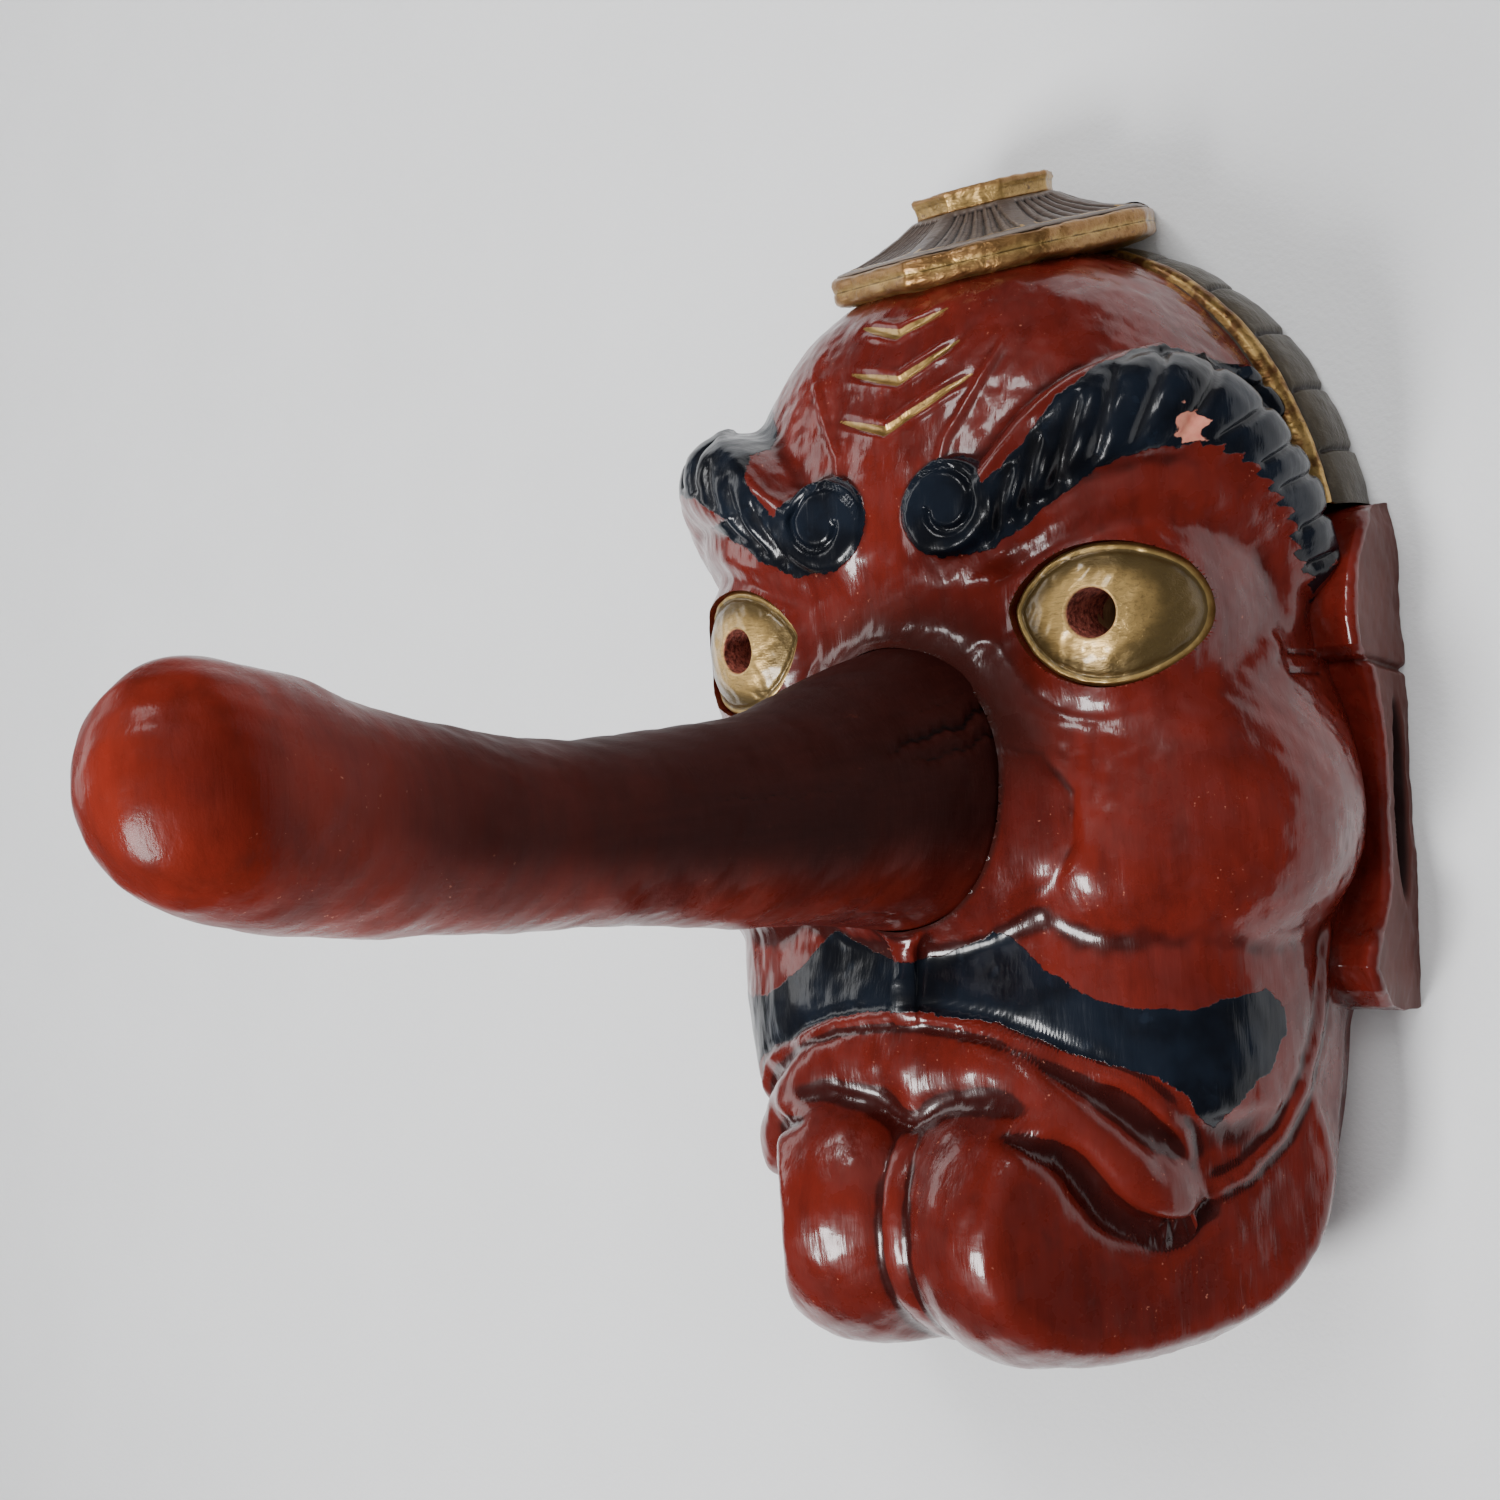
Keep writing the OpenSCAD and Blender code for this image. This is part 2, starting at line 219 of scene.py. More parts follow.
def build(name, V, F, attrs=None, normals=None):
    """A mesh object from points in the row frame and faces, with float attributes on the points."""
    F = [np.asarray(f) for f in F] if isinstance(F, list) else [np.asarray(F)]
    V = np.asarray(V, float).reshape(-1, 3)
    me = bpy.data.meshes.new(name)
    loops = np.concatenate([f.ravel() for f in F])
    sizes = np.concatenate([np.full(len(f), f.shape[1]) for f in F])
    me.vertices.add(len(V))
    me.vertices.foreach_set("co", V.ravel())
    me.loops.add(len(loops))
    me.loops.foreach_set("vertex_index", loops.astype(np.int32))
    me.polygons.add(len(sizes))
    me.polygons.foreach_set("loop_start", np.concatenate([[0], np.cumsum(sizes)[:-1]]).astype(np.int32))
    me.update(calc_edges=True)
    me.polygons.foreach_set("use_smooth", np.ones(len(sizes), bool))
    for key, value in (attrs or {}).items():
        at = me.attributes.new(key, "FLOAT", "POINT")
        at.data.foreach_set("value", np.asarray(value, np.float32).ravel())
    me.validate()
    if normals is not None:
        me.normals_split_custom_set_from_vertices(np.asarray(normals, float).reshape(-1, 3).tolist())
    ob = bpy.data.objects.new(name, me)
    bpy.context.collection.objects.link(ob)
    return ob


def piece(ob, body, nodes, mat):
    """Gives a mesh its material and body, and hides the CAD nodes that it replaces."""
    ob.data.materials.clear()
    ob.data.materials.append(mat)
    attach(ob, body)
    if nodes:
        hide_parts(*nodes)
    return ob


# ------------------------------ materials
class Paint:
    """A node material, built with short calls. Lengths in it are mm in the piece's own coordinates."""

    def __init__(self, name):
        self.mat = bpy.data.materials.new(name)
        self.mat.use_nodes = True
        self.tree = self.mat.node_tree
        self.tree.nodes.clear()
        self.shader = self.tree.nodes.new("ShaderNodeBsdfPrincipled")
        out = self.tree.nodes.new("ShaderNodeOutputMaterial")
        self.tree.links.new(self.shader.outputs[0], out.inputs[0])
        coord = self.tree.nodes.new("ShaderNodeTexCoord")
        self.place = self.vec("MULTIPLY", coord.outputs["Object"], (1000, 1000, 1000))

    def put(self, socket, value):
        """Links or sets an input."""
        if isinstance(value, bpy.types.NodeSocket):
            self.tree.links.new(value, socket)
        elif isinstance(value, tuple) and len(value) == 3 and socket.type == "RGBA":
            socket.default_value = value + (1.0,)
        else:
            socket.default_value = value

    def vec(self, op, a, b):
        """One vector operation."""
        n = self.tree.nodes.new("ShaderNodeVectorMath")
        n.operation = op
        self.put(n.inputs[0], a)
        self.put(n.inputs[1], b)
        return n.outputs[0]

    def math(self, op, a, b=0.0, c=0.0):
        """One operation on numbers."""
        n = self.tree.nodes.new("ShaderNodeMath")
        n.operation = op
        for s, v in zip(n.inputs, (a, b, c)):
            self.put(s, v)
        return n.outputs[0]

    def noise(self, size, detail=3.0, rough=0.5, stretch=(1, 1, 1), warp=0.0):
        """Noise from 0 to 1, blotches of that size in mm, longer along the axes with small stretch."""
        n = self.tree.nodes.new("ShaderNodeTexNoise")
        self.put(n.inputs["Vector"], self.vec("MULTIPLY", self.place, stretch))
        n.inputs["Scale"].default_value = 1.0 / size
        n.inputs["Detail"].default_value = detail
        n.inputs["Roughness"].default_value = rough
        n.inputs["Distortion"].default_value = warp
        return n.outputs["Fac"]

    def attr(self, name):
        """A number stored on the mesh's points."""
        n = self.tree.nodes.new("ShaderNodeAttribute")
        n.attribute_name = name
        return n.outputs["Fac"]

    def ramp(self, value, low, high, a=0.0, b=1.0):
        """value from low..high mapped to a..b, held at the ends."""
        n = self.tree.nodes.new("ShaderNodeMapRange")
        n.interpolation_type = "SMOOTHSTEP"
        for key, v in zip(("Value", "From Min", "From Max", "To Min", "To Max"),
                          (value, low, high, a, b)):
            self.put(n.inputs[key], v)
        return n.outputs[0]

    def uneven(self, value, size, amount):
        """value, shifted up and down by noise of that size in mm."""
        noise = self.math("SUBTRACT", self.noise(size, 3.0), 0.5)
        return self.math("ADD", value, self.math("MULTIPLY", noise, amount))

    def mix(self, fac, a, b):
        """Colour a where fac is 0, b where it is 1."""
        n = self.tree.nodes.new("ShaderNodeMix")
        n.data_type = "RGBA"
        self.put(n.inputs[0], fac)
        self.put(n.inputs[6], a)
        self.put(n.inputs[7], b)
        return n.outputs[2]

    def blend(self, fac, a, b):
        """a where fac is 0, b where it is 1, for plain numbers."""
        n = self.tree.nodes.new("ShaderNodeMix")
        self.put(n.inputs[0], fac)
        self.put(n.inputs[2], a)
        self.put(n.inputs[3], b)
        return n.outputs[0]

    def bump(self, height, depth):
        """Relief of that depth in mm."""
        n = self.tree.nodes.new("ShaderNodeBump")
        n.inputs["Strength"].default_value = 1.0
        n.inputs["Distance"].default_value = depth / 1000
        self.put(n.inputs["Height"], height)
        return n.outputs[0]

    def done(self, **sockets):
        """Sets the inputs of the shader; underscores stand for spaces."""
        for key, v in sockets.items():
            self.put(self.shader.inputs[key.replace("_", " ")], v)
        return self.mat


def speckle(p, size, share, seed_size):
    """Small worn flecks: 1 in the few spots where fine noise peaks inside patchy areas."""
    fine = p.ramp(p.noise(size, 2.0, 0.6), 1 - share - 0.03, 1 - share)
    patch = p.ramp(p.noise(seed_size, 2.0), 0.5, 0.6)
    return p.math("MULTIPLY", fine, patch)


def lacquer_layers(p, light, mid, dark):
    """Colour, roughness and relief of old hand-brushed lacquer, with painted shade in creases and painted
    light on ridges.
    """
    cloud = p.noise(34, 4.0, 0.55, warp=0.4)
    streak = p.noise(5.5, 4.0, 0.6, stretch=(1.0, 1.0, 0.18))
    colour = p.mix(p.ramp(cloud, 0.3, 0.7), mid, light)
    colour = p.mix(p.ramp(streak, 0.35, 0.75, 0.0, 0.35), colour, dark)
    # painted shade: creases darkened towards the dark tone; painted light: ridges lightened towards the
    # light tone
    cav = p.attr("cav")
    colour = p.mix(p.ramp(cav, 0.02, 0.28, 0.0, 0.85), colour, dark)
    colour = p.mix(p.ramp(cav, -0.28, -0.04, 0.35, 0.0), colour, light)
    flecks = speckle(p, 1.1, 0.27, 26)
    colour = p.mix(p.math("MULTIPLY", flecks, 0.5), colour, (0.55, 0.2, 0.13))
    strokes = p.noise(1.5, 3.0, 0.6, stretch=(1.0, 1.0, 0.12), warp=0.15)
    cross = p.noise(1.7, 2.0, 0.6, stretch=(0.15, 1.0, 1.0))
    ripple = p.noise(11, 2.0, 0.5)
    height = p.math("MULTIPLY_ADD", ripple, 2.6, p.math("MULTIPLY_ADD", cross, 0.25, strokes))
    rough = p.ramp(p.noise(9, 3.0, 0.6), 0.3, 0.7, 0.2, 0.38)
    return colour, rough, height


# ------------------------------ the carved form, as a distance field in mm
HALF_W, WIDE_Z, CROWN, JAW, DEPTH = 85.0, 20.0, 110.0, 170.0, 78.0
EYE, EYE_R = np.array([48.0, 50.6, 28.0]), 30.0
SEAT_F, NOSE_Z = 77.0, -10.5


def block(x, f, z):
    """The plain block before carving."""
    dz, ax = z - WIDE_Z, np.abs(x)
    n, h = np.where(dz > 0, 2.25, 4.0), np.where(dz > 0, CROWN, JAW)
    w = HALF_W - 7 * (1 - step(0, 22, f)) * (1 - step(-80, -55, z))
    q = ((ax / w) ** n + (np.abs(dz) / h) ** n) ** (1 / n)
    m = 3.5 + np.where(dz > 0, 0, 4.0) * (dz * dz / (dz * dz + ax * ax + 1e-6)) ** 6
    d = DEPTH + 5 * hill(x, z, 0, 55, 30, 26) + 9 * hill(x, z, 0, -72, 46, 24)
    return ((q ** m + (np.maximum(f, 0) / d) ** m) ** (1 / m) - 1) * 72


def egg(x, f, z, c, r):
    """Distance to an ellipsoid with middle c and half sizes r."""
    a, b, d = (x - c[0]) / r[0], (f - c[1]) / r[1], (z - c[2]) / r[2]
    k0 = np.sqrt(a * a + b * b + d * d)
    k1 = np.sqrt((a / r[0]) ** 2 + (b / r[1]) ** 2 + (d / r[2]) ** 2)
    return k0 * (k0 - 1) / np.maximum(k1, 1e-9)


class Roll:
    """A round bar of changing radius along a smooth path of (x, forward, z, radius)."""

    def __init__(self, pts):
        c = self.path = catmull(pts, 12)
        self.lo, self.hi = (c[:, :3] - c[:, 3:]).min(0) - 12, (c[:, :3] + c[:, 3:]).max(0) + 12

    def __call__(self, x, f, z):
        out = np.full(x.shape, 12.0)
        near = ((x > self.lo[0]) & (x < self.hi[0]) & (f > self.lo[1]) & (f < self.hi[1])
                & (z > self.lo[2]) & (z < self.hi[2]))
        if near.any():
            px, pf, pz = x[near], f[near], z[near]
            best = np.full(px.shape, 12.0)
            for a, b in zip(self.path[:-1], self.path[1:]):
                dx, df, dz = b[:3] - a[:3]
                vx, vf, vz = px - a[0], pf - a[1], pz - a[2]
                t = np.clip((vx * dx + vf * df + vz * dz) / (dx * dx + df * df + dz * dz + 1e-9), 0, 1)
                d = np.sqrt((vx - t * dx) ** 2 + (vf - t * df) ** 2 + (vz - t * dz) ** 2)
                best = np.minimum(best, d - a[3] - t * (b[3] - a[3]))
            out[near] = best
        return out


def almond(x, z):
    """Signed distance to the left eye opening from the front: two arcs, rounded at the temple."""
    up, down = (24.0 ** 2 + 14 ** 2) / 28, (24.0 ** 2 + 20 ** 2) / 40
    a, b = np.hypot(x - 56, z - 44.5 + up) - up, np.hypot(x - 56, z - 10.5 - down) - down
    return smax(a, b, 1 + 10 * step(60, 78, x))


def root_of_nose(x, f, z):
    """Distance to the thick end of the nose, which the face swells up to meet."""
    return np.hypot(x / 0.93, z - NOSE_Z) - 34.6 + 0.13 * (f - SEAT_F)


def eye_edge(x, z):
    """Signed distance to the nearer eye opening, seen from the front."""
    return almond(np.abs(x), z)


def seat_edge(x, z):
    """Signed distance to the rim of the nose's seat, seen from the front."""
    return np.hypot(x / 32.3, (z - NOSE_Z) / 34.8) * 33.5 - 33.5


class Face:
    """The whole front of the mask, mirrored left to right."""

    def __init__(self):
        self.brow = Roll([(15, 75, 51, 8.5), (26, 76, 53, 8), (37, 77, 61, 9.5), (48, 74, 69, 12),
                          (58, 69, 73, 13.5),
                          (68, 60, 74, 14), (76, 48, 66, 13.5), (81, 36, 54, 11.5), (83, 27, 40, 9)])
        self.crest = Roll([(29, 83, 60, 2.2), (36, 84, 66, 2), (45, 82.5, 74, 2), (54, 77, 81, 2),
                           (62, 68, 86.5, 2),
                           (68, 55, 89.5, 2), (71, 42, 89, 2), (75, 25, 82, 2), (80, 8, 63, 2)])
        self.over = Roll([(22, 74, 42, 3.5), (32, 76, 45, 4.5), (44, 75, 50, 5.5), (56, 70, 55.5, 7),
                          (67, 61, 57, 7.5),
                          (75, 50, 52, 6.5), (80, 38, 42, 5), (81, 34, 27, 3.5)])
        self.under = Roll([(25, 76, 20, 2.5), (33, 75, 6, 3.6), (47, 72, -1.5, 4.5), (62, 66, -0.5, 4.5),
                           (73, 57, 5, 4), (80, 44, 17, 3)])
        self.wing = Roll([(18, 71, 12, 5), (28, 72, 1, 8), (33, 72, -12, 11), (33.5, 73, -24, 11),
                          (29, 75, -34, 9), (19, 78, -41.5, 5.5), (9, 79, -44, 4), (0, 79.5, -44.5, 3.6)])
        self.lip = Roll([(0, 77, -79, 12), (14, 77, -79, 12), (26, 77.5, -80.5, 11.5),
                         (37, 77, -88, 11.5),
                         (45.5, 73, -97.5, 11), (52, 68, -105.5, 10), (55.5, 63, -111, 8)])
        self.mouth = Roll([(31, 94.5, -92, 0.3), (38.5, 91, -95, 2.4), (43.4, 86, -99.5, 3.4),
                           (46, 82.2, -106, 3.7),
                           (48.5, 78.8, -111.5, 3.7), (52.5, 73.8, -116, 3.5), (58, 66.5, -118, 2.8),
                           (63, 59, -114, 1.5)])

    def form(self, x, f, z):
        """Everything but the thin lines and the openings."""
        ax = np.abs(x)
        d = block(x, f, z)
        cheek = egg(ax, f, z, (59, 38, -22), (37.5, 37.5, 37.5))
        pad = egg(ax, f, z, (46, 58, -30), (25, 24, 25.5))
        d = smin(d, smin(cheek, pad, 8), 2.5 + 10 * step(-38, 0, z))
        lid = np.sqrt((ax - EYE[0]) ** 2 + (f - EYE[1]) ** 2 + (z - EYE[2]) ** 2) - (EYE_R + 1.2)
        d = smin(d, lid, 4)
        d = smin(d, self.wing(ax, f, z), 4)
        d = smin(d, self.brow(ax, f, z), 6)
        d = smin(d, self.over(ax, f, z), 4)
        d = smin(d, self.under(ax, f, z), 3)
        # chin: two lobes with a flat side plane running back to the jaw
        side = 0.811 * ax + 0.585 * f - 85.5
        low = 1 - step(-100, -88, z)
        d = d + (smax(d, side, 6) - d) * low
        lobe = smin(egg(ax, f, z, (24, 64, -117.5), (38, 40, 38)),
                    egg(ax, f, z, (38, 44, -108), (47, 44, 43)), 14)
        d = smin(d, smax(lobe, side, 1.4), 5)
        return smax(d, -z - 151, 3)

    def __call__(self, x, f, z):
        """Signed distance to the carved front, before its eye openings and nose seat are cut."""
        ax = np.abs(x)
        d = smin(self.form(x, f, z), self.crest(ax, f, z), 2)
        # curl of the brow: a flat disc
        r = np.hypot((ax - 19) / 1.1, z - 57)
        d = smin(d, smax(r - 11.4, np.abs(f - 77) - 7.2, 2), 1.5)
        # mouth: the upper lip rolls over the chin and turns up again at its corner
        beak = egg(ax, f, z, (0, 79, -83), (8, 8.5, 13))
        d = smin(d, smin(self.lip(ax, f, z), beak, 5), 2.6)
        d = smax(d, -self.mouth(ax, f, z), 4.5)
        # strap between the two grooves of the chin
        strap = np.maximum(ax - 3.4, np.maximum(z + 94, -150 - z))
        d = smin(d, smax(strap, egg(ax, f, z, (0, 60, -118), (30, 39, 34)), 2), 1.5)
        # column above the lip
        column = np.maximum(ax - 2.6, np.maximum(z + 50, -68 - z))
        d = smin(d, smax(column, block(x, f, z) - 4.6, 2.5), 2.0)
        return smin(d, smax(root_of_nose(x, f, z), f - 94, 3), 13)


def slope(field, P, e=0.2):
    """Unit normals of a field, and how steep it is."""
    g = np.zeros(P.shape)
    for k in ((1, 1, 1), (1, -1, -1), (-1, 1, -1), (-1, -1, 1)):
        k = np.array(k, float)
        Q = P + k * e
        g += field(Q[:, 0], Q[:, 1], Q[:, 2])[:, None] * k
    g /= 4 * e
    long = np.linalg.norm(g, axis=1)
    return g / np.maximum(long, 1e-9)[:, None], long


def outline(a, w=HALF_W, up=CROWN, down=JAW, n_up=2.25, n_down=4.0):
    """Distance from the middle of the block to its outline in the direction a."""
    h, n = np.where(np.sin(a) > 0, up, down), np.where(np.sin(a) > 0, n_up, n_down)
    return 1 / ((np.abs(np.cos(a)) / w) ** n + (np.abs(np.sin(a)) / h) ** n) ** (1 / n)


def disc_grid(nu, nv):
    """Directions and reaches (0 in the middle, 1 at the outline) that map a square grid onto the face."""
    u, v = np.meshgrid(np.linspace(-1, 1, nu), np.linspace(-1, 1, nv), indexing="ij")
    r = np.maximum(np.abs(u), np.abs(v))
    wide = np.abs(u) >= np.abs(v)
    su, sv = np.where(np.abs(u) < 1e-9, 1, u), np.where(np.abs(v) < 1e-9, 1, v)
    a = np.where(wide, np.where(u > 0, 0, math.pi) + math.pi / 4 * v / su,
                 np.where(v > 0, 0.5, -0.5) * math.pi - math.pi / 4 * u / sv)
    return np.where(r < 1e-9, 0, a), r


def even(m, reach, deep, wide):
    """Angle along a superellipse profile so that steps in reach are even steps along its length."""
    t = np.linspace(0, math.pi / 2, 400)
    run = np.hypot(np.diff(np.sin(t) ** (2 / m) * wide), np.diff(np.cos(t) ** (2 / m) * deep))
    run = np.concatenate([[0], np.cumsum(run)])
    return np.interp(reach, run / run[-1], t)


def settle(field, G, rounds, pull=0.6):
    """Evens out a grid of points and keeps it on the field's surface; the rim stays on the wall plane."""
    edge = np.zeros(G.shape[:2], bool)
    edge[[0, -1], :] = edge[:, [0, -1]] = True
    flat = edge.ravel()
    for _ in range(rounds):
        L = G.copy()
        L[1:-1, 1:-1] = (G[2:, 1:-1] + G[:-2, 1:-1] + G[1:-1, 2:] + G[1:-1, :-2]) / 4
        for e in (0, -1):
            L[1:-1, e] = (G[2:, e] + G[:-2, e]) / 2
            L[e, 1:-1] = (G[e, 2:] + G[e, :-2]) / 2
        P = G.reshape(-1, 3)
        n, _ = slope(field, P)
        move = (L - G).reshape(-1, 3)
        P = P + (move - n * (move * n).sum(1, keepdims=True)) * pull
        P[flat, 1] = 0
        n, steep = slope(field, P)
        n[flat, 1] = 0
        d = field(P[:, 0], P[:, 1], P[:, 2])
        P = P - n * np.clip(d / np.maximum(steep, 0.3), -2, 2)[:, None]
        P[flat, 1] = 0
        G = P.reshape(G.shape)
    return G


def carve(field, nu, nv):
    """A grid of points on the field's surface, found by marching in from outside the face."""
    a, r = disc_grid(nu, nv)
    t = even(3.0, r, 85, 110)
    s, c = np.sin(t) ** (2 / 3), np.cos(t) ** (2 / 3)
    R = s * outline(a)
    start = np.stack([R * np.cos(a), c * DEPTH, WIDE_Z + R * np.sin(a)], -1).reshape(-1, 3)
    flat = (r > 0.9999).ravel()
    start[flat, 1] = 0
    core = np.stack([start[:, 0] * 0.35, start[:, 1] * 0.3, start[:, 2] * 0.55], -1)
    way = start - core
    way[flat, 1] = 0
    way /= np.linalg.norm(way, axis=1, keepdims=True)
    reach, live = np.full(len(start), 45.0), np.ones(len(start), bool)
    for _ in range(90):
        k = np.where(live)[0]
        if not len(k):
            break
        Q = start[k] + way[k] * reach[k, None]
        d = field(Q[:, 0], Q[:, 1], Q[:, 2])
        done = (d < 0.05) | (reach[k] < -60)
        live[k[done]] = False
        reach[k[~done]] -= np.clip(d[~done] * 0.7, 0.12, 6)
    return settle(field, (start + way * reach[:, None]).reshape(nu, nv, 3), 26)


def refine(G, times):
    """More rows and columns between the old ones."""
    for axis in (0, 1):
        n = G.shape[axis]
        at = np.linspace(0, n - 1, (n - 1) * times + 1)
        i = np.minimum(at.astype(int), n - 2)
        t = (at - i).reshape((-1, 1, 1) if axis == 0 else (1, -1, 1))
        G = np.take(G, i, axis) * (1 - t) + np.take(G, i + 1, axis) * t
    return G


# ------------------------------ paint outlines, as (distance round the face, z)
BROW_TOP = [(26, 61), (30, 64), (36, 71), (41, 79), (48, 85), (56, 89), (68, 91), (81, 88), (104, 83),
            (112, 66)]
BROW_LOW = [(15, 45), (25, 45), (32, 49), (40, 56), (47, 61), (55, 64), (66, 64), (73, 60), (78, 54),
            (83, 47),
            (86, 38), (92, 29)]
COMB = [((31, 65), (27, 48)), ((37, 72), (33, 51)), ((44, 79), (39, 55)), ((51, 86), (46, 61)),
        ((61, 90), (53, 65)),
        ((74, 91), (61, 66)), ((98, 88), (67, 65)), ((107, 80), (74, 58)), ((106, 66), (79, 53)),
        ((100, 52), (84, 43)),
        ((99, 40), (87, 35))]
MOUSTACHE = [(-9, -52), (2, -53), (11, -51), (20, -46), (23, -46.5), (28, -52), (32, -56), (40, -62),
             (48, -64.5),
             (58, -65.5), (64, -64), (73, -62), (77, -67), (77.5, -73), (73, -81), (67, -87), (61, -94),
             (58, -91),
             (56, -85), (49, -80), (43, -77), (36, -75), (29, -71), (20, -67.5), (10, -65.5), (-9, -64.5)]
WRINKLES = [[(-16, 108.5), (-2, 104), (12, 108.5)], [(-15, 96), (1, 91), (17, 99)],
            [(-16, 84), (-1, 78.5), (21, 89.5)]]
TEMPLE_LINE = [(13, 64), (15, 74), (22, 86), (28, 96), (32, 102)]
SIDEBURN = [(101, 84), (118, 80), (124, 60), (124, 33), (105, 31), (99, 44), (103, 58)]
LIP_RIDGE = [(0, -66), (10, -67), (20, -69), (29, -73), (36, -77), (42, -80), (47, -83), (51, -88),
             (55, -95),
             (56.5, -104)]
LIP_FOLD = [(29, -76), (38, -82.5), (45, -89.5), (49.5, -97), (51.5, -105)]
SMILE_LINE = [(93, -45), (91, -57), (88, -72), (83, -86), (77, -98), (68, -106), (58, -110)]
WING_CREASE = [(24, -1), (33, -4), (38, -13), (38, -25), (34, -34), (25, -39)]


def wrap_s(P):
    """Distance round the face from its middle line, positive on the mask's left."""
    return 80 * np.arctan2(P[..., 0], P[..., 1] + 10)


def surface_above(field, x, z):
    """How far forward the carving reaches over the points (x, z)."""
    return boundary(lambda f: field(x, f, z) < 0, np.full(x.shape, 25.0), np.full(x.shape, 104.0), 24)


def crisp_edges(field, G):
    """Moves points near the rims of the eyes and the nose seat onto them, and marks those inside."""
    P = G.reshape(-1, 3).copy()
    within, e = np.zeros(len(P), bool), 0.01
    for gap, low in ((seat_edge, 60), (eye_edge, 25)):
        front = P[:, 1] > low
        k = np.where((np.abs(gap(P[:, 0], P[:, 2])) < (0.62)) & front)[0]
        x, z = P[k, 0], P[k, 2]
        for _ in range(3):
            gx = (gap(x + e, z) - gap(x - e, z)) / (2 * e)
            gz = (gap(x, z + e) - gap(x, z - e)) / (2 * e)
            move = -gap(x, z) / np.maximum(gx * gx + gz * gz, 0.2)
            x, z = x + gx * move, z + gz * move
        P[k] = np.stack([x, surface_above(field, x, z), z], -1)
        within |= (gap(P[:, 0], P[:, 2]) < 0.03) & front
    return P.reshape(G.shape), within


